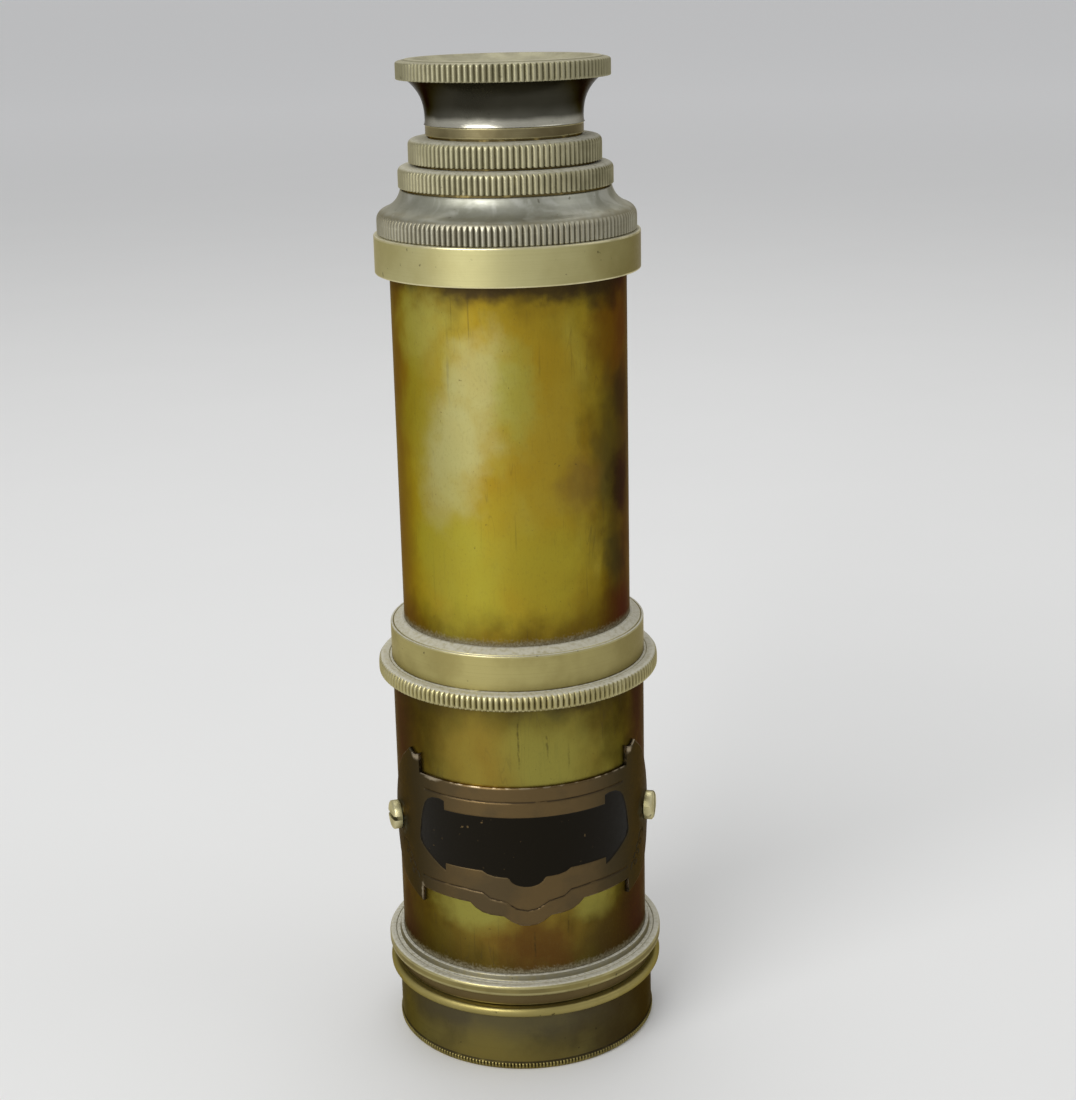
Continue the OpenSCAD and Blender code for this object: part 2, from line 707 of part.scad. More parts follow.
module field_stop() {
    color("#2c2924") stop_leaf_ring(eye_tube_z + eye_tube_len / 2, field_stop_hole_d / 2);
}

module field_lens() {
    color("#cfe3e6") plano_lens(field_lens_z, field_lens_r);
}

module field_lens_ring() {
    color("#3d382b") lens_ring(field_lens_z, field_lens_r);
}

module erector_tube() {
    color("#3a352a") ring(lens_tube_r, lens_tube_bore, erector_z, erector_len);
}

module erector_front_lens() {
    color("#cfe3e6") plano_lens(erector_front_z, erector_lens_r);
}

module erector_front_ring() {
    color("#3d382b") lens_ring(erector_front_z, erector_lens_r);
}

module erector_stop() {
    color("#2c2924") stop_leaf_ring(erector_z + erector_len / 2, erector_stop_hole_d / 2);
}

module erector_rear_lens() {
    color("#cfe3e6") plano_lens(erector_rear_z, erector_lens_r);
}

module erector_rear_ring() {
    color("#3d382b") lens_ring(erector_rear_z, erector_lens_r);
}

lens_cap();
objective_mount_ring();
objective_cell();
objective_crown_lens();
objective_flint_lens();
objective_retaining_ring();
front_tube();
plate();
plate_screws();
joint_collar();
main_tube();
tube_end_ring();
barrel_collar();
draw_1_tube();
draw_1_collar();
draw_1_stop_ring();
draw_2_tube();
draw_2_collar();
draw_2_stop_ring();
draw_3_tube();
draw_3_collar();
draw_3_stop_ring();
eyepiece_bell();
eyepiece_rim();
eyepiece_lens_tube();
eye_lens();
eye_lens_ring();
field_stop();
field_lens();
field_lens_ring();
erector_tube();
erector_front_lens();
erector_front_ring();
erector_stop();
erector_rear_lens();
erector_rear_ring();
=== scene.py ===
import math

import bpy
import numpy as np
from mathutils import Matrix


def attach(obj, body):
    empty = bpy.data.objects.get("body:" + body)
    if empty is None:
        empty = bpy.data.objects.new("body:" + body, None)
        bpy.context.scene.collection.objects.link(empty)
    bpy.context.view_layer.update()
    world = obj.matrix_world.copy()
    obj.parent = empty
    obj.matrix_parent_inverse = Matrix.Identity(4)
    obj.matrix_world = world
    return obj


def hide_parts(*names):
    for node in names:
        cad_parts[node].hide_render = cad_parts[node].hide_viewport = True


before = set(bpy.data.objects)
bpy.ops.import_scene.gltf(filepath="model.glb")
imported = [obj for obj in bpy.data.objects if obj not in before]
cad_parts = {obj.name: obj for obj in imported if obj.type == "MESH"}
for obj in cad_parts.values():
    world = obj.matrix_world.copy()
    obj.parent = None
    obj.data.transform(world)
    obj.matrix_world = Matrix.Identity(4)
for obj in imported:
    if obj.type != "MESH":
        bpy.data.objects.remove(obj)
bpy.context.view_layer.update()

# Lens cap: a shallow cup turned from thick sheet brass, with a half-round bead at its mouth and fine teeth
# round its foot. It has gone dark olive with handling and is a push fit on the objective mount's nose. The
# spyglass stands on it.
MM = 0.001


def measured(node):
    """A CAD node's least and greatest radius about the axis, its foot and its head, in mm to a hundredth."""
    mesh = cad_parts[node].data
    spots = np.zeros(3 * len(mesh.vertices), np.float32)
    mesh.vertices.foreach_get("co", spots)
    x, y, z = spots.reshape(-1, 3).T / MM
    radius = np.hypot(x, y)
    return [round(float(size), 2) for size in (radius.min(), radius.max(), z.min(), z.max())]


def outline(corners, closed=True, steps=5):
    """A turned profile with eased corners, as rows of radius, height and bend. A corner row is radius,
    height and ease in mm: the corner P gives way to the curve (1-t)^2 A + 2t(1-t) P + t^2 B, where A and B
    lie that ease back along its two sides. Bend is 1 on a corner that sticks out, -1 on one that goes in
    and 0 along the sides. A long side has two more rows close to its ends, which hold the corners' bend to
    the corners."""
    most_ease, hold, long_side = 0.45, 0.12, 0.5
    corners = np.array([(*row, 0.0)[:3] for row in corners], float)
    point, ease = corners[:, :2], corners[:, 2]
    sides = [np.roll(point, 1, 0) - point, np.roll(point, -1, 0) - point]
    lengths = [np.linalg.norm(side, axis=1) for side in sides]
    a, b = [point + side * (np.minimum(ease, most_ease * length) / length)[:, None]
            for side, length in zip(sides, lengths)]
    t = np.linspace(0, 1, steps)[None, :, None]
    arcs = (1 - t) ** 2 * a[:, None] + 2 * t * (1 - t) * point[:, None] + t * t * b[:, None]
    turn = np.sign(sides[1][:, 0] * sides[0][:, 1] - sides[1][:, 1] * sides[0][:, 0])
    rows = np.column_stack([arcs.reshape(-1, 2), np.repeat(turn, steps)])
    step = np.linalg.norm(np.roll(rows, -1, 0)[:, :2] - rows[:, :2], axis=1)
    rows, step = rows[step > 1e-6], step[step > 1e-6]
    ahead = np.roll(rows, -1, 0)
    if not closed:
        step[-1] = 0
    share = hold / np.maximum(step, 0.3)[:, None]
    held = [rows, rows + (ahead - rows) * share, ahead + (rows - ahead) * share]
    held[1][:, 2] = held[2][:, 2] = 0
    keep = np.column_stack([step > -1, step > long_side, step > long_side])
    return np.stack(held, 1)[keep]


def skin(name, grid, marks, ends):
    """A mesh over a grid of points in mm, whose columns run round and close. Its rows close too, or run
    between two end points that a fan of triangles reaches. Marks are numbers from 0 to 1 at each point of
    the grid."""
    rows, columns = grid.shape[:2]
    here = np.arange(rows * columns).reshape(rows, columns)
    side = np.roll(here, -1, 1)
    above, corner = np.roll(here, -1, 0), np.roll(side, -1, 0)
    faces = np.stack([here, side, corner, above], -1)
    faces = (faces if ends is None else faces[:-1]).reshape(-1, 4).tolist()
    points = grid.reshape(-1, 3)
    if ends is not None:
        points = np.vstack([points, np.array(ends, float)])
        first, last = rows * columns, rows * columns + 1
        faces += np.column_stack([np.full(columns, first), side[0], here[0]]).tolist()
        faces += np.column_stack([np.full(columns, last), here[-1], side[-1]]).tolist()
    mesh = bpy.data.meshes.new(name)
    mesh.from_pydata(points * MM, [], faces)
    for mark, value in marks.items():
        spread = np.zeros(len(points), np.float32)
        spread[: rows * columns] = np.broadcast_to(value, (rows, columns)).ravel()
        mesh.attributes.new(mark, "FLOAT", "POINT").data.foreach_set("value", spread)
    mesh.shade_smooth()
    mesh.set_sharp_from_angle(angle=math.radians(50))
    piece = bpy.data.objects.new(name, mesh)
    bpy.context.scene.collection.objects.link(piece)
    return piece


def turned(name, profile, columns=240, teeth=None, per_tooth=8, lift=0.0, worn=None):
    """A surface turned about the axis: at angle a a profile row's point is (r sin a, -r cos a, z). Teeth
    are given as count, crest radius, depth, low and high: between those heights r is cut back to the crest
    radius less the depth times a power of a saw wave of the angle, so that crests are broad and valleys
    narrow. Each tooth takes per_tooth columns, lift raises the valleys' lower ends in mm, and worn is a
    direction where the teeth are rubbed away. A profile that starts and ends on the axis is closed by its
    two poles."""
    poles = profile[0, 0] == 0
    ends = [(0, 0, profile[0, 1]), (0, 0, profile[-1, 1])] if poles else None
    r, z, bend = (profile[1:-1] if poles else profile).T[:, :, None]
    columns = per_tooth * teeth[0] if teeth else columns
    a = 2 * math.pi * np.arange(columns) / columns
    radius, wear, cut = np.repeat(r, columns, 1), np.maximum(bend, 0), np.zeros((len(r), columns))
    height = np.repeat(z, columns, 1)
    if teeth:
        count, crest, depth, low, high = teeth
        narrow, rubbed_off, rubbed_wide = 2.2, 0.75, 18
        valley = np.abs(2 * (a * count / (2 * math.pi) % 1) - 1) ** narrow
        if worn is not None:
            away = (np.degrees(a) - worn + 180) % 360 - 180
            valley = valley * (1 - rubbed_off * np.exp(-(away / rubbed_wide) ** 2))
        band = (z >= low) & (z <= high) & (r > crest - depth)
        radius = np.where(band, np.minimum(radius, crest - depth * valley), radius)
        height = height + band * valley * lift * np.clip(1 - (z - low), 0, 1)
        cut = np.clip((r - radius) / depth, 0, 1)
        wear = np.maximum(wear * (1 - cut), band * (1 - valley) ** 3)
    grid = np.stack([radius * np.sin(a), -radius * np.cos(a), height], -1)
    return skin(name, grid, {"wear": wear, "nook": np.maximum(-bend, 0), "flute": cut}, ends)


class Link:
    """One output of a finish's nodes. Links and numbers added, subtracted, multiplied or divided make Math
    nodes."""

    def __init__(self, finish, socket):
        self.finish, self.socket = finish, socket

    def maths(self, operation, first, second):
        return self.finish.node("Math", {"operation": operation}, {0: first, 1: second})

    def __add__(self, other):
        return self.maths("ADD", self, other)

    def __radd__(self, other):
        return self.maths("ADD", other, self)

    def __sub__(self, other):
        return self.maths("SUBTRACT", self, other)

    def __rsub__(self, other):
        return self.maths("SUBTRACT", other, self)

    def __mul__(self, other):
        return self.maths("MULTIPLY", self, other)

    def __rmul__(self, other):
        return self.maths("MULTIPLY", other, self)

    def __truediv__(self, other):
        return self.maths("DIVIDE", self, other)


class Finish:
    """One material: a Principled shader whose own sockets hold what is the same all over, and the nodes
    that vary the rest. Its places are object coordinates in mm."""

    def __init__(self, name, **same):
        self.material = bpy.data.materials.new(name)
        self.material.use_nodes = True
        self.tree = self.material.node_tree
        self.shader = self.tree.nodes["Principled BSDF"]
        for socket, value in same.items():
            self.shader.inputs[socket.replace("_", " ")].default_value = value
        metres = self.node("TexCoord", output="Object")
        self.place = self.node("Mapping", inputs={"Vector": metres, "Scale": (1 / MM,) * 3})
        self.x, self.y, self.z = [self.node("SeparateXYZ", inputs={0: self.place}, output=axis)
                                  for axis in range(3)]

    def node(self, kind, settings=None, inputs=None, output=0):
        """Adds a node of that type, sets its settings and then its sockets, to values or to links."""
        made = self.tree.nodes.new("ShaderNode" + kind)
        for setting, value in (settings or {}).items():
            setattr(made, setting, value)
        for socket, value in (inputs or {}).items():
            if isinstance(value, Link):
                self.tree.links.new(value.socket, made.inputs[socket])
            else:
                made.inputs[socket].default_value = value
        return Link(self, made.outputs[output])

    def clouds(self, size, detail, stretch=(1, 1, 1), seed=0.0, warp=0.0):
        """Soft random values round 0.5, in patches about `size` mm across and drawn out by stretch."""
        scale = [1 / (size * much) for much in stretch]
        spot = self.node("Mapping", inputs={"Vector": self.place, "Location": (seed,) * 3, "Scale": scale})
        return self.node("TexNoise", inputs={"Vector": spot, "Scale": 1.0, "Detail": detail,
                                             "Distortion": warp})

    def round_lines(self, size, seed=0.0):
        """Random values that run round the axis in rings, as a lathe tool leaves them, about `size` mm
        apart."""
        radius = self.node("Math", {"operation": "SQRT"}, {0: self.x * self.x + self.y * self.y})
        spot = self.node("CombineXYZ", inputs={0: radius / size + seed, 1: self.z / size, 2: 0.0})
        return self.node("TexNoise", inputs={"Vector": spot, "Scale": 1.0, "Detail": 4.0, "Roughness": 0.7})

    def facing(self, degrees):
        """The cosine of the angle round the axis between a point and that direction, 0 being the plate's
        middle."""
        a = math.radians(degrees)
        radius = self.node("Math", {"operation": "SQRT"}, {0: self.x * self.x + self.y * self.y})
        return (self.x * math.sin(a) - self.y * math.cos(a)) / radius

    def ease(self, value, low, high):
        """Goes smoothly from 0 where the value is low to 1 where it is high."""
        return self.node("MapRange", {"interpolation_type": "SMOOTHSTEP"}, {0: value, 1: low, 2: high})

    def patch(self, degrees, radius, z, wide, tall, ragged, seed):
        """A soft ragged spot, 1 at a place on the surface and 0 from `wide` mm off across and `tall` mm off
        up."""
        a = math.radians(degrees)
        spot = (radius * math.sin(a), -radius * math.cos(a), z)
        off = self.node("VectorMath", {"operation": "SUBTRACT"}, {0: self.place, 1: spot})
        off = self.node("VectorMath", {"operation": "DIVIDE"}, {0: off, 1: (wide, wide, tall)})
        off = self.node("VectorMath", {"operation": "LENGTH"}, {0: off}, output="Value")
        return self.ease(off + (self.clouds(0.7 * min(wide, tall), 5, seed=seed) - 0.5) * ragged, 1.1, 0.3)

    def mark(self, name):
        return self.node("Attribute", {"attribute_name": name}, output="Fac")

    def mix(self, first, second, share):
        """A colour between two colours."""
        inputs = {i: (*c, 1) if isinstance(c, tuple) else c for i, c in ((6, first), (7, second))}
        return self.node("Mix", {"data_type": "RGBA"}, {0: share, **inputs}, output=2)

    def set(self, **links):
        for socket, link in links.items():
            self.tree.links.new(link.socket, self.shader.inputs[socket.replace("_", " ")])

    def bump(self, height, deep):
        """Turns a height from 0 to 1, worth that depth in mm, into the shader's normal."""
        self.set(Normal=self.node("Bump", inputs={"Height": height, "Distance": deep * MM, "Strength": 1.0}))


def aged_brass(name, bright, dull, grime_and_shade, rough, patch=8.0, cover=(0.4, 0.62), shine=(0.62, 0.55, 0.30),
               dust=0.0, rim=(0.8, 0.74, 0.6), seed=0.0, more=None):
    """Old turned brass: bright metal under a dull film in patches, polished where corners are rubbed, grime
    in flutes and inner corners, and painted shadow where a nook is marked in a gap, rings left by the lathe,
    specks, and pale dust on what faces up. Rim tints what is seen at a grazing angle, and more adds to the
    colour."""
    f = Finish(name, Metallic=1.0, Specular_Tint=(*rim, 1))
    film = f.ease(f.clouds(patch, 5, seed=seed), *cover)
    grain, rings = f.clouds(0.5, 3, seed=seed), f.round_lines(0.11, seed)
    specks = f.ease(f.clouds(0.9, 2, seed=seed + 9), 0.70, 0.78)
    colour = f.mix(bright, dull, film)
    colour = f.mix(colour, dull, f.ease(rings, 0.45, 0.75) * 0.5)
    if more:
        colour = more(f, colour)
    rubbed = f.mark("wear") * (f.ease(f.clouds(3.0, 3, seed=seed + 4), 0.36, 0.6) * 0.4 + 0.5)
    colour = f.mix(colour, shine, rubbed)
    # Grime in flutes and nooks; where a draw tube's nook is marked under its collar, this is painted shadow
    # in the gap.
    grime_and_gap_shade = f.node("Math", {"operation": "MAXIMUM"}, {0: f.mark("flute"), 1: f.mark("nook")})
    grime_and_gap_shade = grime_and_gap_shade * f.ease(f.clouds(1.6, 3, seed=seed + 2), 0.15, 0.5)
    colour = f.mix(colour, grime_and_shade, grime_and_gap_shade * 0.85)
    colour = f.mix(colour, grime_and_shade, specks * 0.7)
    upward = f.node("TexCoord", output="Normal")
    upward = f.ease(f.node("SeparateXYZ", inputs={0: upward}, output=2), 0.45, 0.95)
    dusty = upward * (f.ease(f.clouds(0.5, 4, seed=seed + 6), 0.25, 0.6) * 0.4 + 0.6) * dust
    colour = f.mix(colour, (0.58, 0.565, 0.48), dusty)
    f.set(Base_Color=colour, Metallic=1 - dusty * 0.7,
          Roughness=rough + film * 0.1 + (grain - 0.5) * 0.16 + grime_and_gap_shade * 0.2 - rubbed * 0.06 + dusty * 0.3)
    f.bump(rings * 0.55 + grain * 0.45, 0.02)
    return f.material


def painted_right_shade(stain, much, seed, degrees=80):
    """A change to a colour: painted shade, that stain colour laid over one side, its right seen from the
    front, which darkens that side as shade would."""
    def change(f, colour):
        # Painted shade: the stain colour darkens the piece's right side, away from the key lamp.
        side = f.ease(f.facing(degrees) + f.clouds(8, 3, seed=seed) * 0.5, 0.6, 1.3)
        return f.mix(colour, stain, side * much)
    return change


def fit(piece, body, material, slot, *nodes):
    """Gives a piece its material, and puts it on its body in place of its nodes. Its slot is not used."""
    piece.data.materials.append(material)
    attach(piece, body)
    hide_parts(*nodes)


bead_r, cap_foot, cap_head = measured("lens_cap")[1:]
cap_r, toothed_r, cap_bore, cap_floor, bead_low = 18.85, 19.05, 18.1, 0.9, cap_head - 1.45


def cap_stain(f, colour):
    """Greyer brown above, an olive patch low on the left of the front, painted shade darkening it to brown on
    the right, a yellow bead."""
    grey = f.ease(f.z + (f.clouds(4, 4, seed=4) - 0.5) * 6, 3.5, 7.5) * 0.6
    colour = f.mix(colour, (0.095, 0.08, 0.048), grey)
    olive = f.ease(f.facing(-12), 0.72, 1.0) * f.ease(f.z + f.clouds(5, 3) * 6, 11.0, 4.0)
    # Painted shade: the cap's right side goes dark brown.
    brown = f.ease(f.facing(70) + f.clouds(6, 4, seed=3) * 0.6, 0.75, 1.35)
    colour = f.mix(f.mix(colour, (0.20, 0.155, 0.04), olive * 0.8), (0.05, 0.034, 0.014), brown * 0.9)
    return f.mix(colour, (0.33, 0.275, 0.09), f.ease(f.z, bead_low, bead_low + 0.35) * 0.9)


cap_profile = outline([(0, cap_foot), (toothed_r - 0.45, cap_foot, 0.12), (toothed_r, cap_foot + 0.45, 0.15),
                       (toothed_r, 0.9, 0.08), (cap_r, 1.15, 0.1), (cap_r, bead_low, 0.1),
                       (bead_r, bead_low, 0.65), (bead_r, cap_head, 0.65), (cap_bore, cap_head, 0.15),
                       (cap_bore, cap_floor, 0.3), (0, cap_floor)], closed=False)
fit(turned("cap", cap_profile, teeth=(240, toothed_r, 0.3, 0.05, 1.0), per_tooth=6, lift=0.3), "lens_cap",
    aged_brass("dark olive brass", (0.155, 0.13, 0.045), (0.085, 0.07, 0.03), (0.03, 0.024, 0.014),
               rough=0.42, patch=10, shine=(0.36, 0.30, 0.11), rim=(0.5, 0.43, 0.28), more=cap_stain),
    "cap_brass", "lens_cap")

# Objective mount: a turned brass ring whose nose fills the cap and whose ridge is rolled bright by the thumb.
# The front tube is sunk and soldered in its top, inside a thin lip where pale dust gathers.
mount_bore, widest_r, mount_foot, mount_head = measured("objective_mount_ring")
tube_bore, tube_r, tube_foot, tube_head = measured("front_tube")
nose_r, groove_r, ridge_r, scribed_r = 18.05, 19.1, widest_r - 0.01, 19.25
shoulder, ridge_low, ridge_high = cap_head + 0.12, 12.4, 14.05
mount_profile = outline([
    (mount_bore, mount_foot, 0.1), (nose_r, mount_foot, 0.2), (nose_r, shoulder, 0.1),
    (groove_r, shoulder, 0.1), (groove_r, ridge_low, 0.2), (ridge_r, ridge_low, 0.5),
    (ridge_r, ridge_high, 0.4), (scribed_r + 0.1, ridge_high, 0.05), (scribed_r, ridge_high - 0.12, 0.05),
    (scribed_r - 0.1, ridge_high, 0.05), (18.7, ridge_high, 0.15), (18.55, mount_head, 0.15),
    (tube_r + 0.01, mount_head, 0.1), (tube_r + 0.01, tube_foot, 0.05), (mount_bore, tube_foot, 0.05)])
mount_profile[mount_profile[:, 1] > ridge_high + 0.01, 2] = 0


def mount_stain(f, colour):
    """Dark brown in the open groove under the ridge, brown tarnish with painted shade under its overhang, and
    a greyed lip.
    """
    # Painted shade with brown tarnish: the groove below the ridge is darkened.
    colour = f.mix(colour, (0.12, 0.085, 0.036), f.ease(f.z, ridge_low + 0.2, ridge_low - 0.05) * 0.9)
    greyed = f.ease(f.z, ridge_high, ridge_high + 0.07)
    greyed = greyed * (f.ease(f.clouds(0.8, 4, seed=13), 0.3, 0.6) * 0.4 + 0.5)
    return f.mix(colour, (0.22, 0.205, 0.15), greyed)


fit(turned("objective_mount", mount_profile), "barrel",
    aged_brass("thumbed brass", (0.275, 0.23, 0.085), (0.20, 0.165, 0.065), (0.05, 0.04, 0.02), rough=0.35,
               shine=(0.43, 0.38, 0.18), dust=0.95, seed=11, more=mount_stain),
    "mount_brass", "objective_mount_ring")

# Objective cell: a screwed brass cell, blackened so that it throws no light about, with a slotted ring
# behind. It holds the crown and the flint, two ground and polished glasses that meet along one curve.
blackened = aged_brass("blackened brass", (0.035, 0.032, 0.028), (0.06, 0.05, 0.035), (0.02, 0.018, 0.016),
                       rough=0.6, shine=(0.2, 0.16, 0.08), seed=17)


def dress(material, *nodes):
    """Gives CAD nodes that stay their material."""
    for node in nodes:
        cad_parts[node].data.materials.clear()
        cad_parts[node].data.materials.append(material)


dress(blackened, "objective_cell", "objective_retaining_ring")


def glass(name, tint, seed):
    """Clear old glass with a faint tint, a smear of dust and fine wipe marks."""
    f = Finish(name, Transmission_Weight=1.0, IOR=1.52)
    smear = f.ease(f.clouds(4, 4, seed=seed), 0.45, 0.7)
    f.set(Base_Color=f.mix(tint, (0.86, 0.88, 0.84), smear), Roughness=0.02 + smear * 0.05)
    return f.material


def lens(name, rim_r, rim_low, rim_high, front_r, back_r):
    """A lens turned about the axis: each face's height is the rim's less or plus its sag from the rim, with
    R - sqrt(R^2 - r^2) as the sag at r. A radius R of 0 is a flat face, and one below 0 is hollow."""
    r = np.linspace(0, rim_r, 24)
    faces = [0 * r if not R else np.sign(R) * (np.sqrt(R * R - r * r) - np.sqrt(R * R - rim_r * rim_r))
             for R in (front_r, back_r)]
    low = np.column_stack([r, rim_low - faces[0], 0 * r])
    high = np.column_stack([r, rim_high + faces[1], 0 * r])[::-1]
    return turned(name, np.vstack([low, high]), columns=128)


lens_r, flint_low, flint_high = measured("objective_flint_lens")[1:]
contact_r = 110
clear_glass = glass("clear glass", (0.93, 0.97, 0.95), 2)
fit(lens("crown_lens", lens_r, flint_low - 1.65, flint_low - 0.05, 150, contact_r), "barrel", clear_glass,
    "glass", "objective_crown_lens")
fit(lens("flint_lens", lens_r, flint_low, flint_high, -contact_r, 0), "barrel", clear_glass, "glass",
    "objective_flint_lens")

# Front tube: drawn brass under old amber lacquer, which has gone brown in runs and streaks down its length.
# Its lower end is soldered in the objective mount, and the joint collar's spigot fills its upper end.


def lacquered(name, golds, brown, browned_and_shaded_sides, streak, foot, head, seed, more):
    """Old lacquer over brass tube: golds mottled over each other, brown where the lacquer is thick or burnt,
    a dark band at the head that is sooty smudges and painted shadow under the ring above, dark streaks down
    the tube, specks, fine scratches, and a speckled line of dust at the foot. Sides are directions that have
    browned and are painted darker as shade too, each with how much. Foot and head are where the visible tube
    ends."""
    f = Finish(name, Metallic=1.0, Coat_Weight=0.03, Coat_Roughness=0.3, Specular_Tint=(0.45, 0.33, 0.10, 1))
    wide, fine = f.clouds(15, 4, (1, 1, 1.4), seed, 0.4), f.clouds(3.0, 5, (1, 1, 1.2), seed + 3)
    colour = f.mix(golds[0], golds[1], f.ease(wide, 0.40, 0.64) * 0.8)
    colour = f.mix(colour, golds[2], f.ease(f.clouds(10, 5, (1, 1, 1.8), seed + 7), 0.46, 0.66) * 0.75)
    # Brown lacquer and painted shade: each given side of the tube is darkened towards brown.
    for side_angle, much in browned_and_shaded_sides:
        burnt_and_shaded = f.ease(f.facing(side_angle) + (wide - 0.5) * 0.9 + (fine - 0.5) * 0.4, 0.35, 1.05)
        colour = f.mix(colour, brown, burnt_and_shaded * much)
    low = f.ease(f.z + (fine - 0.5) * 9 + (wide - 0.5) * 10, foot + 7, foot)
    high = f.ease(f.z + (f.clouds(4, 4, seed=seed + 5) - 0.5) * 9, head - 7, head)
    colour = f.mix(colour, brown, low * 0.75 + high * 0.5)
    # Sooty smudges and painted shadow: a dark ragged band just under the ring or flange above the tube's
    # head.
    soot_and_shadow = f.ease(f.z + (f.clouds(2.6, 7, seed=seed + 9) - 0.5) * 5, head - 3.0, head - 0.3)
    soot_and_shadow = soot_and_shadow * (f.ease(f.clouds(8, 2, seed=seed + 11), 0.35, 0.6) * 0.6 + 0.4)
    colour = f.mix(colour, (0.05, 0.034, 0.014), soot_and_shadow * 0.9)
    runs = f.ease(f.clouds(0.45, 3, (1, 1, 40), seed + 13), 0.60, 0.74)
    runs = runs * f.ease(f.clouds(7, 2, (1, 1, 1.5), seed + 17), 0.42, 0.62)
    colour = f.mix(colour, (0.045, 0.038, 0.018), runs * streak)
    vein = f.node("Math", {"operation": "ABSOLUTE"}, {0: f.clouds(2.2, 2, (1, 1, 7), seed + 23, 0.3) - 0.5})
    cracked = f.ease(vein, 0.012, 0.003) * f.ease(f.clouds(5, 2, seed=seed + 25), 0.48, 0.62)
    colour = f.mix(colour, (0.07, 0.05, 0.02), cracked * streak * 0.7)
    colour = more(f, colour)
    grain = f.clouds(0.3, 3, (1, 1, 1.6), seed + 19)
    colour = f.mix(colour, (0.14, 0.10, 0.03), f.ease(grain, 0.5, 0.75) * 0.14)
    specks = f.ease(f.clouds(0.55, 3, seed=seed + 21), 0.70, 0.78)
    colour = f.mix(colour, (0.07, 0.05, 0.02), specks * 0.5)
    colour = f.mix(colour, (0.04, 0.028, 0.014), f.ease(f.z, foot + 1.0, foot) * 0.8)
    dust = f.ease(f.z + (f.clouds(0.35, 5, seed=seed + 29) - 0.5) * 2.0, foot + 1.2, foot)
    dust = dust * (f.ease(f.clouds(0.22, 2, seed=seed + 31), 0.3, 0.7) * 0.4 + 0.35)
    colour = f.mix(colour, (0.27, 0.245, 0.165), dust)
    scratches = f.clouds(0.12, 2, (1, 1, 30), seed + 37)
    f.set(Base_Color=colour, Metallic=0.97 - dust * 0.85,
          Roughness=0.40 + (fine - 0.5) * 0.2 + soot_and_shadow * 0.15 + dust * 0.3 + (scratches - 0.5) * 0.12)
    f.bump(fine * 0.5 + scratches * 0.3 + f.clouds(0.4, 3, seed=seed + 41) * 0.2, 0.03)
    return f.material


def tube(name, bore, outer, low, high):
    """A plain tube with barely broken ends."""
    profile = outline([(bore, low, 0.05), (outer, low, 0.08), (outer, high, 0.08), (bore, high, 0.05)])
    return turned(name, profile)


screw_low, screw_high = measured("plate_screws")[2:]
screw_at, plate_z, head_r = 75, (screw_low + screw_high) / 2, (screw_high - screw_low) / 2


def both_sides(f, degrees, z, wide, tall, ragged, seed):
    """Two ragged spots on the plate, at the same angle left and right of its middle."""
    left = f.patch(-degrees, 18.5, z, wide, tall, ragged, seed)
    return left + f.patch(degrees, 18.5, z, wide, tall, ragged, seed + 1)


def screw_halo(f, colour):
    """Greenish black grime round the two screws."""
    halo = both_sides(f, screw_at, plate_z, 5.6, 6.4, 0.5, 8)
    colour = f.mix(colour, (0.020, 0.023, 0.018), halo * 0.88)
    crumbs = both_sides(f, 71, plate_z + 0.3, 2.9, 3.6, 0.9, 10)
    crumbs = crumbs * f.ease(f.clouds(0.6, 3, seed=12), 0.4, 0.65)
    return f.mix(colour, (0.13, 0.15, 0.12), crumbs * 0.7)


def hairline(f, degrees, radius, z, tall, seed):
    """A thin crack that wanders down the tube, 1 on it and 0 beside it, to about `tall` mm above and below
    z."""
    across = f.facing(degrees + 90) * radius + (f.clouds(4.0, 3, seed=seed) - 0.5) * 1.3
    along = f.z - z + (f.clouds(0.8, 3, seed=seed + 1) - 0.5) * 3
    across, along = [f.node("Math", {"operation": "ABSOLUTE"}, {0: off}) for off in (across, along)]
    broken = f.ease(f.clouds(0.5, 4, seed=seed + 3), 0.3, 0.62) * f.ease(f.facing(degrees), 0.5, 0.8)
    return f.ease(across, 0.24, 0.0) * f.ease(along, tall, tall * 0.3) * broken


def stained(f, colour, radius, seed, marks):
    """Lays soft ragged stains over a colour. Each mark is a direction, a height, how wide, tall and ragged
    the stain is, its colour and how much of it there is."""
    for number, (degrees, z, wide, tall, ragged, stain, much) in enumerate(marks):
        colour = f.mix(colour, stain, f.patch(degrees, radius, z, wide, tall, ragged, seed + number) * much)
    return colour


def front_marks(f, colour):
    """Amber left of the middle, greener gold right of it, a paler patch under the plate, and a red-brown
    foot."""
    amber, green = (0.275, 0.19, 0.03), (0.29, 0.265, 0.055)
    colour = stained(f, colour, 18, 61, (
        (-24, 47, 7, 9, 0.8, amber, 0.6), (10, 46, 8, 9, 0.8, green, 0.75),
        (-24, 24.5, 8, 4, 0.8, green, 0.9), (32, 24.5, 5, 3.5, 0.8, green, 0.7),
        (4, 19, 8, 5.5, 1.0, (0.105, 0.042, 0.010), 0.8),
        (48, 19, 9, 7, 0.9, (0.05, 0.028, 0.010), 0.7)))
    cracks = ((-2.5, 50.2, 5.0, 0.65), (10.2, 49.7, 3.4, 0.5), (20.2, 47.5, 2.4, 0.35),
              (2.6, 19.2, 3.4, 0.75), (18.7, 21.8, 2.0, 0.45))
    for number, (degrees, z, tall, much) in enumerate(cracks):
        crack = hairline(f, degrees, tube_r, z, tall, 67 + 2 * number)
        colour = f.mix(colour, (0.045, 0.033, 0.012), crack * much)
    return screw_halo(f, colour)


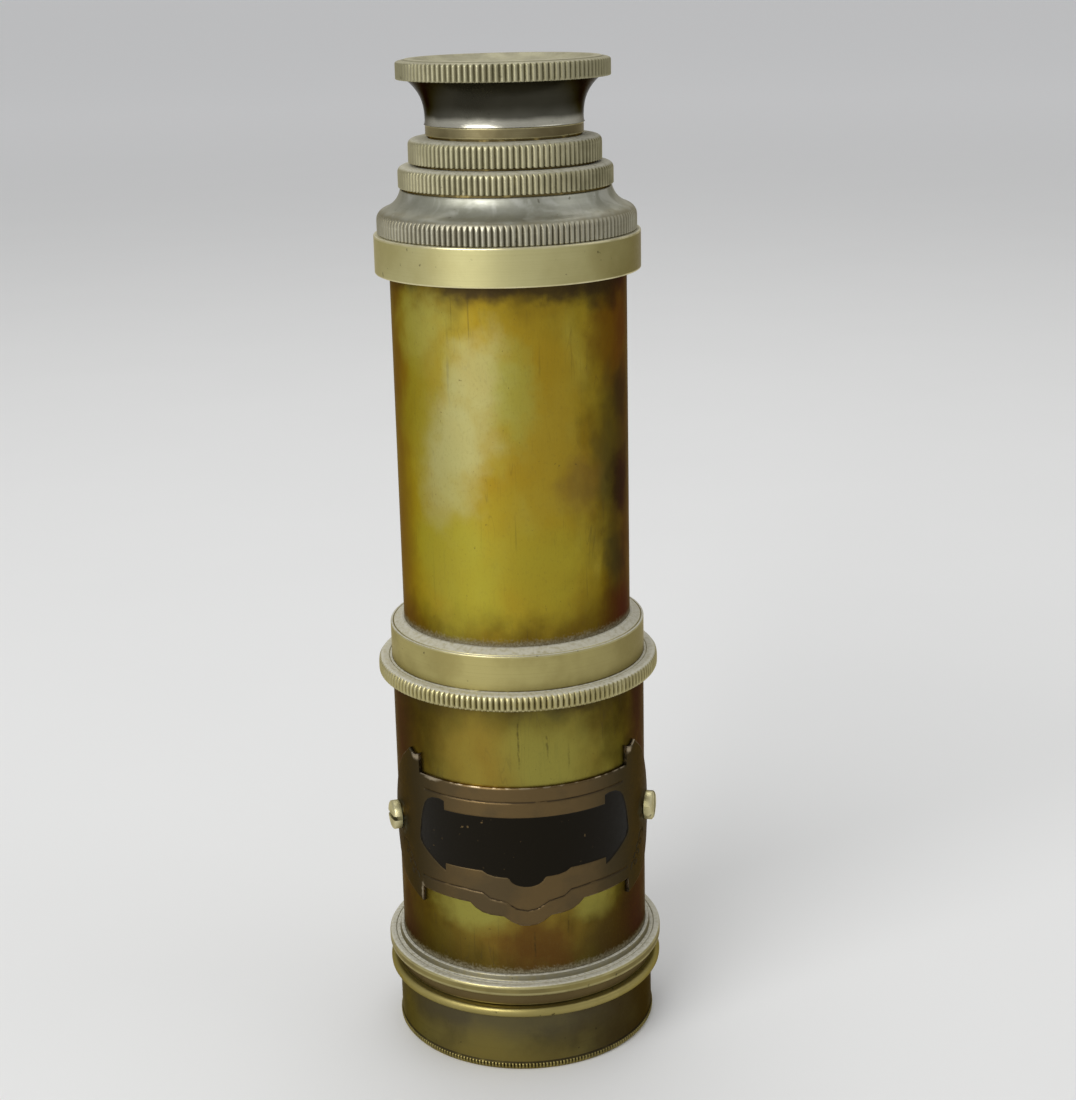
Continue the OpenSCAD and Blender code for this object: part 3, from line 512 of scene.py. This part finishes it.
# Its right and left sides are browned and painted darker as shade, and its head under the joint collar's
# flange carries the painted shadow band.
fit(tube("front_tube_shell", tube_bore, tube_r, tube_foot, tube_head), "barrel",
    lacquered("browned lacquer", ((0.235, 0.18, 0.03), (0.20, 0.12, 0.018), (0.285, 0.255, 0.048)),
              (0.042, 0.030, 0.005), ((78, 0.95), (-85, 0.85)), 0.45, mount_head, tube_head, seed=5,
              more=front_marks), "front_tube_lacquer", "front_tube")

# Plate: thin copper-coloured sheet sawn to an outline, etched with two border lines and filled with black
# enamel in its middle, then rolled to the tube. The field is left bare, and two screws through its ends
# hold it on.
plate_r = measured("plate")[1]
plate_edge = np.array([
    [0, -11.7, 9.15], [3.2, -11.65, 9.15], [7, -11.1, 9.15], [10.5, -10.3, 9.15], [16.5, -10.15, 9.15],
    [20, -9.9, 9.15], [23.5, -9.3, 9.15], [25.8, -8.6, 9.15], [51.9, -8.5, 9.15], [52.1, -8.5, 12],
    [52.5, -8.5, 11.9], [52.9, -10.8, 11.8], [55, -10.6, 11.55], [57, -10.4, 11.6], [59.5, -10.1, 12.15],
    [61, -9.9, 11.7], [66, -9.2, 10.4], [71, -7.9, 8.3], [75, -5.6, 5.6], [77.5, -3.4, 3.4],
    [79, -1.2, 1.2]]).T
field_low = np.array([[0, 28.6], [1.6, 28.62], [3.2, 28.72], [4.6, 28.88], [5.8, 29.08], [7, 29.4],
                      [7.7, 29.8], [8.6, 30], [11, 30.02], [14, 30.1], [17.4, 30.4], [19.6, 30.85],
                      [37.5, 30.9], [37.6, 29.8], [40, 30.1], [43, 30.7], [46, 31.3], [49, 31.95],
                      [51.5, 32.6], [53.2, 33.3]]).T
field_high = np.array([[0, 39.05], [37.3, 39.05], [37.4, 40.4], [40, 40.6], [44, 40.45], [47, 39.95],
                       [49, 39.2], [50.5, 38], [51.8, 36.5], [52.6, 35], [53.2, 33.3]]).T
line_low = np.array([[0, 24.9], [4.6, 25.2], [9.4, 26.2], [16.4, 26.7], [19.5, 27.5], [29, 27.75],
                     [52, 27.75]]).T


def plate_sheet():
    """The plate as a loop carried round the tube: at each angle the loop climbs the outer face between the
    outline's lower and upper edges, and comes back down the inner face. The outer face's radius drops by
    the depth of the lines, of the enamelled field and of the eased edge, each a smooth step of the distance
    to its curve in mm."""
    end, field_end, arc = plate_edge[0, -1], field_low[0, -1], math.radians(1) * plate_r
    line_deep, field_deep, edge_deep = 0.14, 0.09, 0.12
    line_half, line_z, curl_half, curl_r, eased_wide = 0.17, 41.3, 0.2, 0.62, 0.22
    corners = [side * curve[0] for side in (-1, 1) for curve in (plate_edge, field_low, field_high)]
    degrees = np.unique(np.concatenate([np.linspace(-end, end, 420), *corners]))
    spread = np.abs(degrees)[:, None]
    low, high = [plate_z + np.interp(spread, plate_edge[0], row) for row in plate_edge[1:]]
    z = low + (high - low) * np.linspace(0, 1, 150)
    across = spread * arc

    def near(distance, reach):
        return np.clip(1 - np.abs(distance) / reach, 0, 1)

    upper_line = near(z - line_z, line_half) * (spread < 49)
    lower_line = near(z - np.interp(spread, *line_low), line_half) * (spread < line_low[0, -1])
    t = np.linspace(0, 1, 70)
    curl_x = (66 - 9.5 * t) * arc + curl_r * np.cos(7 * math.pi * t)
    curl_z = 31.3 - 4.2 * t + curl_r * np.sin(7 * math.pi * t)
    curl = np.hypot(across[:, :, None] - curl_x, z[:, :, None] - curl_z).min(2)
    line = np.maximum(np.maximum(upper_line, lower_line), near(curl, curl_half))
    inside = np.minimum(z - np.interp(spread, *field_low), np.interp(spread, *field_high) - z)
    field = np.clip(np.minimum(inside, field_end * arc - across) / 0.16 + 0.5, 0, 1)
    rim = np.minimum(np.minimum(z - low, high - z), (end - spread) * 0.32)
    eased = np.clip(1 - rim / eased_wide, 0, 1) ** 2
    radius = plate_r - (line_deep * line + field_deep * field + edge_deep * eased)
    z = np.hstack([z, low + (high - low) * np.array([1, 0.5, 0])])
    radius = np.hstack([radius, np.full((len(degrees), 3), tube_r + 0.01)])
    a = np.radians(degrees)[:, None]
    grid = np.stack([radius * np.sin(a), -radius * np.cos(a), z], -1)
    none = np.zeros((len(degrees), 3))
    marks = {name: np.hstack([value, none])
             for name, value in (("wear", eased), ("line", line), ("field", field))}
    return skin("maker_plate", grid, marks, [grid[0].mean(0), grid[-1].mean(0)])


def plate_finish():
    """Brown copper, satin and cloudy, with painted shade darkening it towards both sides, enamel in the
    field, dark lines, and bright nicks along the edge."""
    f = Finish("brown copper and enamel", Metallic=1.0, Specular_IOR_Level=0.12,
               Specular_Tint=(0.6, 0.5, 0.4, 1))
    cloud, fine = f.clouds(7, 4, seed=2), f.clouds(0.8, 4, seed=8)
    colour = f.mix((0.130, 0.087, 0.038), (0.095, 0.068, 0.034), f.ease(cloud, 0.4, 0.62))
    # Painted shade: darker towards both sides of the plate, lighter in the middle that faces the front.
    middle = f.ease(f.facing(-3) + (cloud - 0.5) * 0.3, 0.95, 0.60)
    colour = f.mix(colour, (0.038, 0.032, 0.019), middle * 0.9)
    bright = f.mark("wear") * f.ease(f.clouds(1.2, 3, seed=5), 0.44, 0.6)
    colour = f.mix(colour, (0.42, 0.345, 0.235), bright * 0.9)
    colour = screw_halo(f, colour)
    colour = stained(f, colour, plate_r, 90, [(*nick, 1.0, (0.44, 0.37, 0.26), 0.75) for nick in (
        (-54, 45.8, 1.1, 0.8), (-52.3, 24.6, 0.5, 2.2), (54, 45.6, 0.9, 0.7), (-44, 43.4, 1.6, 0.5))])
    dark = f.mark("line") * f.ease(f.clouds(2.5, 3, seed=6), 0.25, 0.5)
    colour = f.mix(colour, (0.05, 0.035, 0.02), f.ease(dark, 0.15, 0.7))
    chips = f.ease(f.clouds(0.8, 2, seed=14), 0.69, 0.72) * f.ease(f.clouds(6, 2, seed=15), 0.46, 0.6)
    enamel = f.ease(f.mark("field"), 0.35, 0.65) * (1 - chips)
    colour = f.mix(colour, (0.006, 0.005, 0.003), enamel)
    f.set(Base_Color=colour, Metallic=1 - enamel,
          Roughness=0.40 + (fine - 0.5) * 0.25 - bright * 0.15 + enamel * 0.05)
    f.bump(fine * 0.5 + f.round_lines(0.2) * 0.5, 0.02)
    return f.material


fit(plate_sheet(), "barrel", plate_finish(), "plate_copper", "plate")

# Plate screws: two cheese-head brass screws, their heads rubbed bright and their slots a little chewed.
# They pass through the plate's ends and are threaded into the tube's wall.


def slotted_screw(degrees, turn):
    """A screw as a loop carried across its head: at each distance v from the middle the loop is a flat base
    and a chord of the head, whose height is the crown less an eased rim, or the slot's floor where v is
    inside the slot. Rows stand twice at the slot's sides, so that its walls are upright. The head is then
    turned and set on the plate."""
    head_h, slot, slot_deep, around = 1.3, 0.3, 0.6, 25
    v = np.array([-0.999, -0.97, -0.9, -0.78, -0.62, -0.45, -0.3, -0.2]) * head_r
    v = np.sort(np.concatenate([v, [-slot, -slot, -slot * 0.9, 0, slot * 0.9, slot, slot], -v[::-1]]))
    sunk = (np.abs(v) < slot * 0.95) | (np.arange(len(v)) == np.searchsorted(v, -slot) + 1)
    sunk |= np.arange(len(v)) == np.searchsorted(v, slot)
    sunk = sunk[:, None]
    chord = np.sqrt(np.maximum(head_r ** 2 - v ** 2, 0))
    u = np.sin(np.linspace(1, -1, around) * math.pi / 2)[None, :] * chord[:, None]
    far = np.hypot(u, v[:, None]) / head_r
    crown = head_h - 0.10 * far ** 2 - 0.22 * np.clip((far - 0.8) / 0.2, 0, 1) ** 2
    top = np.where(sunk, head_h - slot_deep, crown)
    base = np.zeros((len(v), 2))
    x, h = np.hstack([chord[:, None] * [-1, 1], u]), np.hstack([base, top])
    y = np.repeat(v[:, None], x.shape[1], 1)
    c, s = math.cos(turn), math.sin(turn)
    side, up, out = c * x - s * y, s * x + c * y, plate_r - 0.02 + h
    a = math.radians(degrees)
    grid = np.stack([out * math.sin(a) + side * math.cos(a), -out * math.cos(a) + side * math.sin(a),
                     plate_z + up], -1)
    rubbed = np.hstack([base, np.where(sunk, 0, far ** 3)])
    slotted = np.hstack([base, np.repeat(sunk, around, 1) * 1.0])
    marks = {"wear": rubbed[::-1], "nook": slotted[::-1], "flute": np.zeros((1, 1))}
    return skin("plate_screw", grid[::-1], marks, [grid[-1].mean(0), grid[0].mean(0)])


left_screw, right_screw = slotted_screw(-screw_at, 0.08), slotted_screw(screw_at, 1.35)
screw_brass = aged_brass("screw brass", (0.56, 0.52, 0.28), (0.40, 0.36, 0.18), (0.07, 0.06, 0.03),
                         rough=0.36, patch=1.5, shine=(0.66, 0.60, 0.36), seed=23)
for screw in (left_screw, right_screw):
    fit(screw, "barrel", screw_brass, "screw_brass", "plate_screws")

# Joint collar: a turned brass collar that joins the two tubes, with a milled bead below for the hand to turn.
# It is soldered over the main tube and its spigot is screwed in the front tube; dust lies on its ledges.
joint_bore, flange_r, joint_foot, joint_head = measured("joint_collar")
flange_high, joint_r, joint_scribed_r = 57.4, 18.1, 18.46
joint_profile = outline([
    (joint_bore, joint_foot, 0.05), (tube_bore, joint_foot, 0.15), (tube_bore, tube_head, 0.05),
    (flange_r - 0.25, tube_head, 0.1), (flange_r, tube_head + 0.3, 0.15), (flange_r, flange_high, 1.0),
    (joint_scribed_r + 0.09, flange_high, 0.05), (joint_scribed_r, flange_high - 0.12, 0.05),
    (joint_scribed_r - 0.09, flange_high, 0.05), (joint_r, flange_high, 0.12), (joint_r, 62.5, 0.18),
    (17.8, 62.52, 0.05), (17.72, 62.38, 0.04), (17.63, 62.55, 0.06), (16.5, joint_head, 0.12),
    (joint_bore, joint_head, 0.03)], steps=4)
joint_profile[(joint_profile[:, 1] > joint_head - 1) & (joint_profile[:, 2] < 0), 2] = 0
# Painted shade: the collar's right side is darkened towards brown.
fit(turned("joint_collar_turning", joint_profile, teeth=(155, flange_r, 0.3, tube_head, flange_high - 0.01),
           per_tooth=6, lift=0.3), "barrel",
    aged_brass("satin brass", (0.43, 0.375, 0.15), (0.34, 0.29, 0.11), (0.075, 0.06, 0.028), rough=0.38,
               patch=9, shine=(0.50, 0.455, 0.25), dust=0.95, seed=31,
               more=painted_right_shade((0.24, 0.20, 0.085), 0.6, 33)),
    "satin_brass", "joint_collar")

# Main tube: the long drawn brass tube, olive-gold under mottled lacquer that has browned at both ends and at
# the right, where painted shade also darkens it, and with a painted shadow under the end ring. It is soldered
# in the joint collar and runs on inside the front tube, down to the objective cell.
main_bore, main_r, main_foot, main_head = measured("main_tube")
ring_r, ring_foot = measured("tube_end_ring")[1:3]


def main_marks(f, colour):
    """A silvery olive patch left of the middle, greener gold under it, amber right of it, brown and dark
    green stains on the right, and dark marks just under the end ring that are sooty smudges and painted
    shadow."""
    marks = ((-30, 74, 10, 13, (0.37, 0.33, 0.035), 0.7), (-30, 91, 7, 10, (0.47, 0.45, 0.195), 0.75),
             (-17, 100, 5.5, 8, (0.46, 0.44, 0.185), 0.65), (-38, 85, 5, 7, (0.44, 0.41, 0.155), 0.5),
             (-52, 106, 6, 7, (0.44, 0.41, 0.09), 0.75), (16, 93, 6.5, 17, (0.36, 0.235, 0.018), 0.7),
             (0, 98, 3.8, 9, (0.36, 0.345, 0.065), 0.6), (-52, 96, 4, 10, (0.34, 0.29, 0.03), 0.6),
             (12, 73, 8, 8, (0.36, 0.30, 0.028), 0.6), (34, 85, 5.5, 5, (0.21, 0.125, 0.024), 0.7),
             (58, 104, 7, 8, (0.14, 0.058, 0.009), 0.7), (60, 87, 7.5, 15, (0.09, 0.078, 0.024), 0.7),
             (64, 84, 4.5, 5.5, (0.03, 0.024, 0.012), 0.85), (59, 73, 4, 6, (0.05, 0.045, 0.02), 0.75),
             (65, 96, 3.5, 5, (0.045, 0.04, 0.02), 0.7), (62, 65, 6, 6, (0.07, 0.028, 0.008), 0.75),
             # The last three marks lie just under the end ring: sooty smudges and painted shadow under the
             # ring.
             (-72, 80, 5, 16, (0.25, 0.15, 0.016), 0.5), (20, 112, 13, 2.8, (0.05, 0.032, 0.014), 0.85),
             (52, 111.4, 8, 4, (0.04, 0.026, 0.012), 0.85), (-18, 112.2, 8, 1.6, (0.06, 0.04, 0.016), 0.7))
    return stained(f, colour, main_r, 50, [(*mark[:4], 1.2, *mark[4:]) for mark in marks])


# Its right and far left are browned and painted darker as shade, and its head under the end ring carries the
# painted shadow band.
fit(tube("main_tube_shell", main_bore, main_r, main_foot, main_head), "barrel",
    lacquered("olive-gold lacquer", ((0.38, 0.28, 0.024), (0.35, 0.205, 0.014), (0.40, 0.33, 0.05)),
              (0.082, 0.044, 0.005), ((80, 0.92), (-112, 0.45)), 0.4, joint_head, ring_foot, seed=43,
              more=main_marks), "main_tube_lacquer", "main_tube")

# Tube end ring: a plain brass ring soldered round the end of the main tube, turned to a fine satin.
# Its crisp upper edge is rubbed bright, and its face still shows the tool.
ring_profile = outline([(main_r, ring_foot, 0.05), (ring_r, ring_foot, 0.15), (ring_r, main_head, 0.2),
                        (main_r, main_head, 0.05)])
# Painted shade: the ring's right side is darkened towards brown.
fit(turned("plain_end_ring", ring_profile), "barrel",
    aged_brass("pale satin brass", (0.56, 0.515, 0.25), (0.45, 0.40, 0.175), (0.06, 0.045, 0.02), rough=0.34,
               patch=11, cover=(0.45, 0.75), shine=(0.72, 0.66, 0.40), dust=0.6, seed=61,
               more=painted_right_shade((0.18, 0.145, 0.04), 0.9, 63)), "end_ring_brass", "tube_end_ring")

# Domed collar: turned brass gone pewter grey, milled round its rim and swept up to the first draw.
# It is screwed in the main tube, and its long bore guides the draw.


def sweep(a, b, c):
    """Profile rows on the curve (1-t)^2 a + 2t(1-t) b + t^2 c, with no corner marked."""
    t = np.linspace(0, 1, 14)[:, None]
    rows = (1 - t) ** 2 * np.array([a]) + 2 * t * (1 - t) * np.array([b]) + t * t * np.array([c])
    return np.column_stack([rows, 0 * t])


guide_r, dome_r, dome_foot, dome_head = measured("barrel_collar")
dome_waist = (16.66, 120.63)
dome_profile = np.vstack([
    outline([(guide_r, dome_foot, 0.1), (main_bore, dome_foot, 0.1), (main_bore, main_head, 0.03),
             (dome_r - 0.15, main_head, 0.05), (dome_r, main_head + 0.15, 0.05), (dome_r, 119.0)],
            closed=False),
    sweep((dome_r, 119.15), (dome_r, 120.2), dome_waist),
    sweep(dome_waist, (14.75, 121.33), (14.3, dome_head - 0.1))[1:],
    [[14.2, dome_head, 1.0], [guide_r + 0.02, dome_head, 1.0], [guide_r, dome_head - 0.1, 0.0]]])


def dome_haze(f, colour):
    """Brown film towards the foot of the dome, and soft pale wiped patches above it."""
    film = f.ease(f.z + (f.clouds(2, 4, seed=74) - 0.5) * 2, 121.0, 120.0)
    colour = f.mix(colour, (0.26, 0.235, 0.155), film * 0.85)
    wiped = f.ease(f.clouds(3.4, 5, (1, 1, 1.4), 75, 0.6), 0.5, 0.66) * f.ease(f.z, 120.2, 120.9)
    return f.mix(colour, (0.52, 0.52, 0.46), wiped * 0.7)


grey_brass = aged_brass("pewter grey brass", (0.40, 0.40, 0.335), (0.28, 0.28, 0.225), (0.125, 0.115, 0.08),
                        rough=0.42, patch=5, cover=(0.42, 0.66), shine=(0.46, 0.44, 0.34), dust=0.1, seed=71,
                        more=dome_haze)
fit(turned("domed_collar", dome_profile, teeth=(139, dome_r, 0.3, main_head, 120.6), lift=0.25), "barrel",
    grey_brass, "dome_grey_brass", "barrel_collar")

# Draw tubes: three thin drawn tubes, bright as they are mostly hidden, each with a stop ring on its inmost
# end. Each slides with light friction in the sleeve of the collar before it.
sleeve_length = {1: 5.5, 2: 5, 3: 0}


def slid(f, colour):
    """Fine bright lines down the tube from sliding, faint duller ones, and a thin film of tarnish in soft
    clouds."""
    film = f.ease(f.clouds(9, 4, (1, 1, 0.7), 86, 0.3), 0.46, 0.7)
    colour = f.mix(colour, (0.40, 0.285, 0.085), film * 0.35)
    lines = f.clouds(0.22, 2, (1, 1, 90), 84)
    colour = f.mix(colour, (0.80, 0.69, 0.38), f.ease(lines, 0.56, 0.72) * 0.55)
    return f.mix(colour, (0.38, 0.285, 0.10), f.ease(lines, 0.40, 0.30) * 0.35)


def draw_shell(number):
    """A plain tube whose rows by the foot of its collar are marked as a nook, so that a dark ring is painted
    there: painted shadow in the gap under the collar."""
    bore, outer, low, high = measured(f"draw_{number}_tube")
    collar_low = measured(f"draw_{number}_collar")[2] + sleeve_length[number]
    reach = 0.3
    profile = outline([(bore, low, 0.05), (outer, low, 0.08), (outer, collar_low - 0.7),
                       (outer, collar_low - reach), (outer, collar_low + reach), (outer, high, 0.08),
                       (bore, high, 0.05)])
    # Painted shadow: these rows under the collar's foot are darkened as shade in the gap.
    shaded_gap = (profile[:, 0] > outer - 0.01) & (np.abs(profile[:, 1] - collar_low) < reach + 0.01)
    profile[shaded_gap, 2] = -1
    return turned(f"draw_{number}_shell", profile)


bright_draw = aged_brass("bright drawn brass", (0.66, 0.52, 0.20), (0.56, 0.43, 0.16), (0.06, 0.045, 0.02),
                         rough=0.2, patch=14, cover=(0.45, 0.7), shine=(0.78, 0.70, 0.42),
                         rim=(0.5, 0.36, 0.14), seed=83, more=slid)
for number in sleeve_length:
    fit(draw_shell(number), f"draw_{number}", bright_draw, "draw_brass", f"draw_{number}_tube")
dress(blackened, "draw_1_stop_ring", "draw_2_stop_ring", "draw_3_stop_ring")

# Draw collars: milled brass rings screwed on the outer ends of the first two draws, dull and grimy in their
# flutes. Each has a sleeve inside its own tube that guides the next draw, and a rounded upper shoulder.
# Painted shade: the collars' right sides are darkened towards brown.
milled_brass = aged_brass("milled brass", (0.43, 0.40, 0.25), (0.31, 0.29, 0.175), (0.16, 0.143, 0.086),
                          rough=0.48, patch=5, shine=(0.47, 0.44, 0.285), dust=0.75, seed=91,
                          more=painted_right_shade((0.15, 0.135, 0.07), 0.95, 93))


def milled_collar(number, teeth):
    """A collar whose shoulder is a curve from its side to its flat top, cut by flutes that run out on it."""
    guide, outer, foot, head = measured(f"draw_{number}_collar")
    bore, seat_r = measured(f"draw_{number}_tube")[:2]
    low, seat_top = foot + sleeve_length[number], head - 0.8
    profile = np.vstack([
        outline([(guide, foot, 0.1), (bore, foot, 0.1), (bore, seat_top, 0.02), (seat_r, seat_top, 0.02),
                 (seat_r, low, 0.03), (outer, low, 0.12), (outer, head - 0.9)], False),
        sweep((outer, head - 0.85), (outer - 0.08, head - 0.08), (outer - 1.05, head))[1:],
        [[guide + 0.12, head, 0.0], [guide + 0.05, head - 0.02, 1.0], [guide, head - 0.1, 1.0]]])
    return turned(f"draw_{number}_milled_collar", profile, teeth=(teeth, outer, 0.3, low, head - 0.02),
                  lift=0.25, worn=-78)


for number, teeth in ((1, 114), (2, 100)):
    fit(milled_collar(number, teeth), f"draw_{number}", milled_brass, "knurled_brass",
        f"draw_{number}_collar")

# Third draw's band: a narrow plain ring of browned brass under the eyepiece, soldered round the draw.
# Fine rings from the lathe show on it, and it carries the bell.
band_bore, band_r, band_foot, band_head = measured("draw_3_collar")
band_profile = outline([(band_bore, band_foot, 0.03), (band_r, band_foot, 0.06), (band_r, band_head, 0.08),
                        (band_bore, band_head, 0.03)])
# Painted shade: the band's right side is darkened further towards brown.
fit(turned("third_draw_band", band_profile), "draw_3",
    aged_brass("browned brass", (0.27, 0.23, 0.12), (0.18, 0.15, 0.075), (0.05, 0.04, 0.02), rough=0.3,
               patch=5, seed=101, more=painted_right_shade((0.11, 0.085, 0.04), 0.75, 103, 70)),
    "draw_3_band_brass", "draw_3_collar")

# Eyepiece bell: a flared brass cup, finished nearly black and polished, screwed on the third draw.
# Its foot turns out a little, it flares under the rim, and it takes the rim's spigot in its mouth.
eyepiece_bore, bell_r, bell_foot, bell_head = measured("eyepiece_bell")
draw_bore, draw_r, _, draw_head = measured("draw_3_tube")
waist_r, spigot_r = 10.6, 10.8
t = np.linspace(0.16, 1, 26)
flare = np.column_stack([waist_r + (bell_r - waist_r) * t ** 3, bell_foot + (bell_head - bell_foot) * t,
                         0 * t])
bell_profile = np.vstack([
    [[draw_r, bell_foot, 0.0]],
    sweep((waist_r + 0.15, bell_foot), (waist_r + 0.01, bell_foot + 0.07),
          (waist_r + 0.005, bell_foot + 0.65)), flare,
    outline([(bell_r, bell_head), (spigot_r, bell_head), (spigot_r, bell_head - 1.4),
             (draw_bore, bell_head - 1.9), (draw_bore, draw_head + 1), (eyepiece_bore, draw_head + 1),
             (eyepiece_bore, draw_head), (draw_r, draw_head)], False)[1:]])


def bell_painted_light(f, colour):
    """Painted reflection: a grey haze over the lower half, and a painted highlight as a pale band on the
    turned-out foot.
    """
    # Painted reflection over the lower half, then a painted highlight on the foot.
    painted_reflection = f.ease(f.z + (f.clouds(4, 3, (1, 1, 0.5), 112) - 0.5), 134.6, 132.0)
    colour = f.mix(colour, (0.16, 0.155, 0.125), painted_reflection * 0.7)
    painted_foot_highlight = f.ease(f.z + (f.clouds(2, 4) - 0.5) * 0.6, 133.1, 132.1)
    return f.mix(colour, (0.56, 0.54, 0.45), painted_foot_highlight * 0.9)


fit(turned("eyepiece_bell_cup", bell_profile), "draw_3",
    aged_brass("black bronze", (0.045, 0.042, 0.03), (0.028, 0.026, 0.018), (0.012, 0.011, 0.008), rough=0.18,
               patch=9, cover=(0.3, 0.75), shine=(0.4, 0.38, 0.28), rim=(0.35, 0.33, 0.3), seed=111,
               more=bell_painted_light), "bell_bronze", "eyepiece_bell")

# Eyepiece rim: a milled brass disc with a shallow dish for the eye and a small eye hole, screwed in the bell.
# Its flat edge is paler with handling, and its flutes are packed with grime.
eye_hole, rim_r, rim_foot, rim_head = measured("eyepiece_rim")
rim_flat, dish = rim_head - 0.15, 138.85
rim_profile = np.vstack([
    outline([(eye_hole, bell_head, 0.05), (draw_bore, bell_head), (draw_bore, rim_foot, 0.05),
             (spigot_r, rim_foot, 0.05), (spigot_r, bell_head), (rim_r - 0.32, bell_head),
             (rim_r - 0.06, bell_head + 0.02), (rim_r, bell_head + 0.1), (rim_r, rim_flat - 0.5)], False),
    sweep((rim_r, rim_flat - 0.4), (rim_r - 0.08, rim_flat - 0.08), (rim_r - 0.8, rim_flat))[1:],
    outline([(13.4, rim_flat), (13.2, rim_flat, 0.04), (13.08, rim_head - 0.02, 0.05), (12.9, rim_head)],
            False),
    sweep((12.0, rim_head), (10.5, dish + 0.1), (eye_hole + 1, dish)),
    [[eye_hole + 0.15, dish, 0.5], [eye_hole, dish - 0.15, 0.5]]])
# Painted shade: the rim's right side is darkened towards brown.
fit(turned("eyepiece_milled_rim", rim_profile, teeth=(110, rim_r, 0.3, bell_head, rim_flat - 0.03), lift=0.4,
           worn=-72), "draw_3",
    aged_brass("handled brass", (0.35, 0.33, 0.20), (0.27, 0.25, 0.15), (0.165, 0.15, 0.09), rough=0.48,
               patch=4, shine=(0.42, 0.395, 0.26), dust=0.3, seed=121,
               more=painted_right_shade((0.22, 0.195, 0.10), 0.5, 123)),
    "knurled_brass", "eyepiece_rim")

# Lens train: the eyepiece's two lenses and the erector's two, in two thin blackened tubes inside the third
# draw. Each lens is burnished in and backed by a ring, and a leaf with a hole stops stray light.
eye_r, _, eye_head = measured("eye_lens")[1:]
fit(lens("eye_glass", eye_r, eye_head - 1.2, eye_head, 20, 0), "draw_3", clear_glass, "glass", "eye_lens")
dress(blackened, "eyepiece_lens_tube", "eye_lens_ring", "field_stop", "field_lens_ring", "erector_tube",
      "erector_front_ring", "erector_stop", "erector_rear_ring")
dress(clear_glass, "field_lens", "erector_front_lens", "erector_rear_lens")

# The table and the light: a plain pale floor under an even pale sky, with one broad soft lamp high on the
# left, a weaker one on the right and one overhead.
ring = np.linspace(0, 2 * math.pi, 96, endpoint=False)
radii = np.array([[0.02], [0.1], [0.4], [1.5], [6], [40]])
spots = np.stack([radii * np.cos(ring), radii * np.sin(ring), 0 * radii * ring], -1).reshape(-1, 3)
here = np.arange(len(spots)).reshape(radii.size, ring.size)
side = np.roll(here, -1, 1)
floor_faces = np.stack([here[:-1], here[1:], side[1:], side[:-1]], -1).reshape(-1, 4).tolist()
floor_mesh = bpy.data.meshes.new("floor")
floor_mesh.from_pydata(spots, [], floor_faces + [here[0].tolist()])
floor = bpy.data.objects.new("floor", floor_mesh)
bpy.context.scene.collection.objects.link(floor)
pale = Finish("pale floor", Roughness=0.7)
far = pale.node("VectorMath", {"operation": "LENGTH"}, {0: pale.place}, output="Value")
near_colour = pale.mix((0.80, 0.80, 0.79), (0.78, 0.78, 0.77), pale.clouds(60, 3))
# Painted light: the floor turns paler to white far from the object, standing in for the lamps' light that
# falls off there, so that it meets the sky without a seam.
pale.set(Base_Color=pale.mix(near_colour, (1.0, 1.0, 1.0), pale.ease(far, 500, 2200)))
floor_mesh.materials.append(pale.material)

world = bpy.data.worlds.new("pale sky")
bpy.context.scene.world = world
world.use_nodes = True
world.node_tree.nodes["Background"].inputs["Color"].default_value = (0.50, 0.503, 0.51, 1)


def lamp(name, degrees, up, far, size, watts, spread=180):
    """A square area lamp at that angle round the object, height angle and distance in metres, aimed at the
    object's middle."""
    middle = (0, 0, 0.07)
    made = bpy.data.objects.new(name, bpy.data.lights.new(name, "AREA"))
    made.data.size, made.data.energy, made.data.spread = size, watts, math.radians(spread)
    a, e = math.radians(degrees), math.radians(up)
    out = np.array([math.sin(a) * math.cos(e), -math.cos(a) * math.cos(e), math.sin(e)])
    made.location = out * far + np.array(middle)
    made.rotation_euler = (math.pi / 2 - e, 0, a)
    made.visible_camera = False
    bpy.context.scene.collection.objects.link(made)


lamp("key lamp", degrees=-38, up=27, far=1.5, size=1.06, watts=6.6, spread=110)
lamp("fill lamp", degrees=75, up=40, far=0.9, size=0.5, watts=0.5)
lamp("top lamp", degrees=175, up=65, far=0.8, size=0.6, watts=1.5)

# The camera: level with the eyepiece, 0.27 m away and looking down by 16.6 degrees, as the photograph was
# taken. Its focal length is 1956 pixels on a 1100-pixel-high picture.
focal, picture_high, sensor = 1955.9, 1100, 36
away, eye_level = 0.26624, 0.15131
around, yaw, pitch, roll = [math.radians(v) for v in (-1.4, 2.09, 16.583, -1.290)]
camera = bpy.data.objects.new("camera", bpy.data.cameras.new("camera"))
camera.data.sensor_width = sensor
camera.data.lens = sensor * focal / picture_high
camera.data.clip_start, camera.data.clip_end = 0.01, 100
forward = np.array([math.sin(yaw) * math.cos(pitch), math.cos(yaw) * math.cos(pitch), -math.sin(pitch)])
right = np.array([math.cos(yaw), -math.sin(yaw), 0])
up = np.cross(right, forward)
right, up = math.cos(roll) * right + math.sin(roll) * up, -math.sin(roll) * right + math.cos(roll) * up
matrix = np.eye(4)
matrix[:3, 0], matrix[:3, 1], matrix[:3, 2] = right, up, -forward
matrix[:3, 3] = (away * math.sin(around), -away * math.cos(around), eye_level)
camera.matrix_world = Matrix(matrix.tolist())
bpy.context.scene.collection.objects.link(camera)
bpy.context.scene.camera = camera
bpy.context.scene.view_settings.view_transform = "Standard"
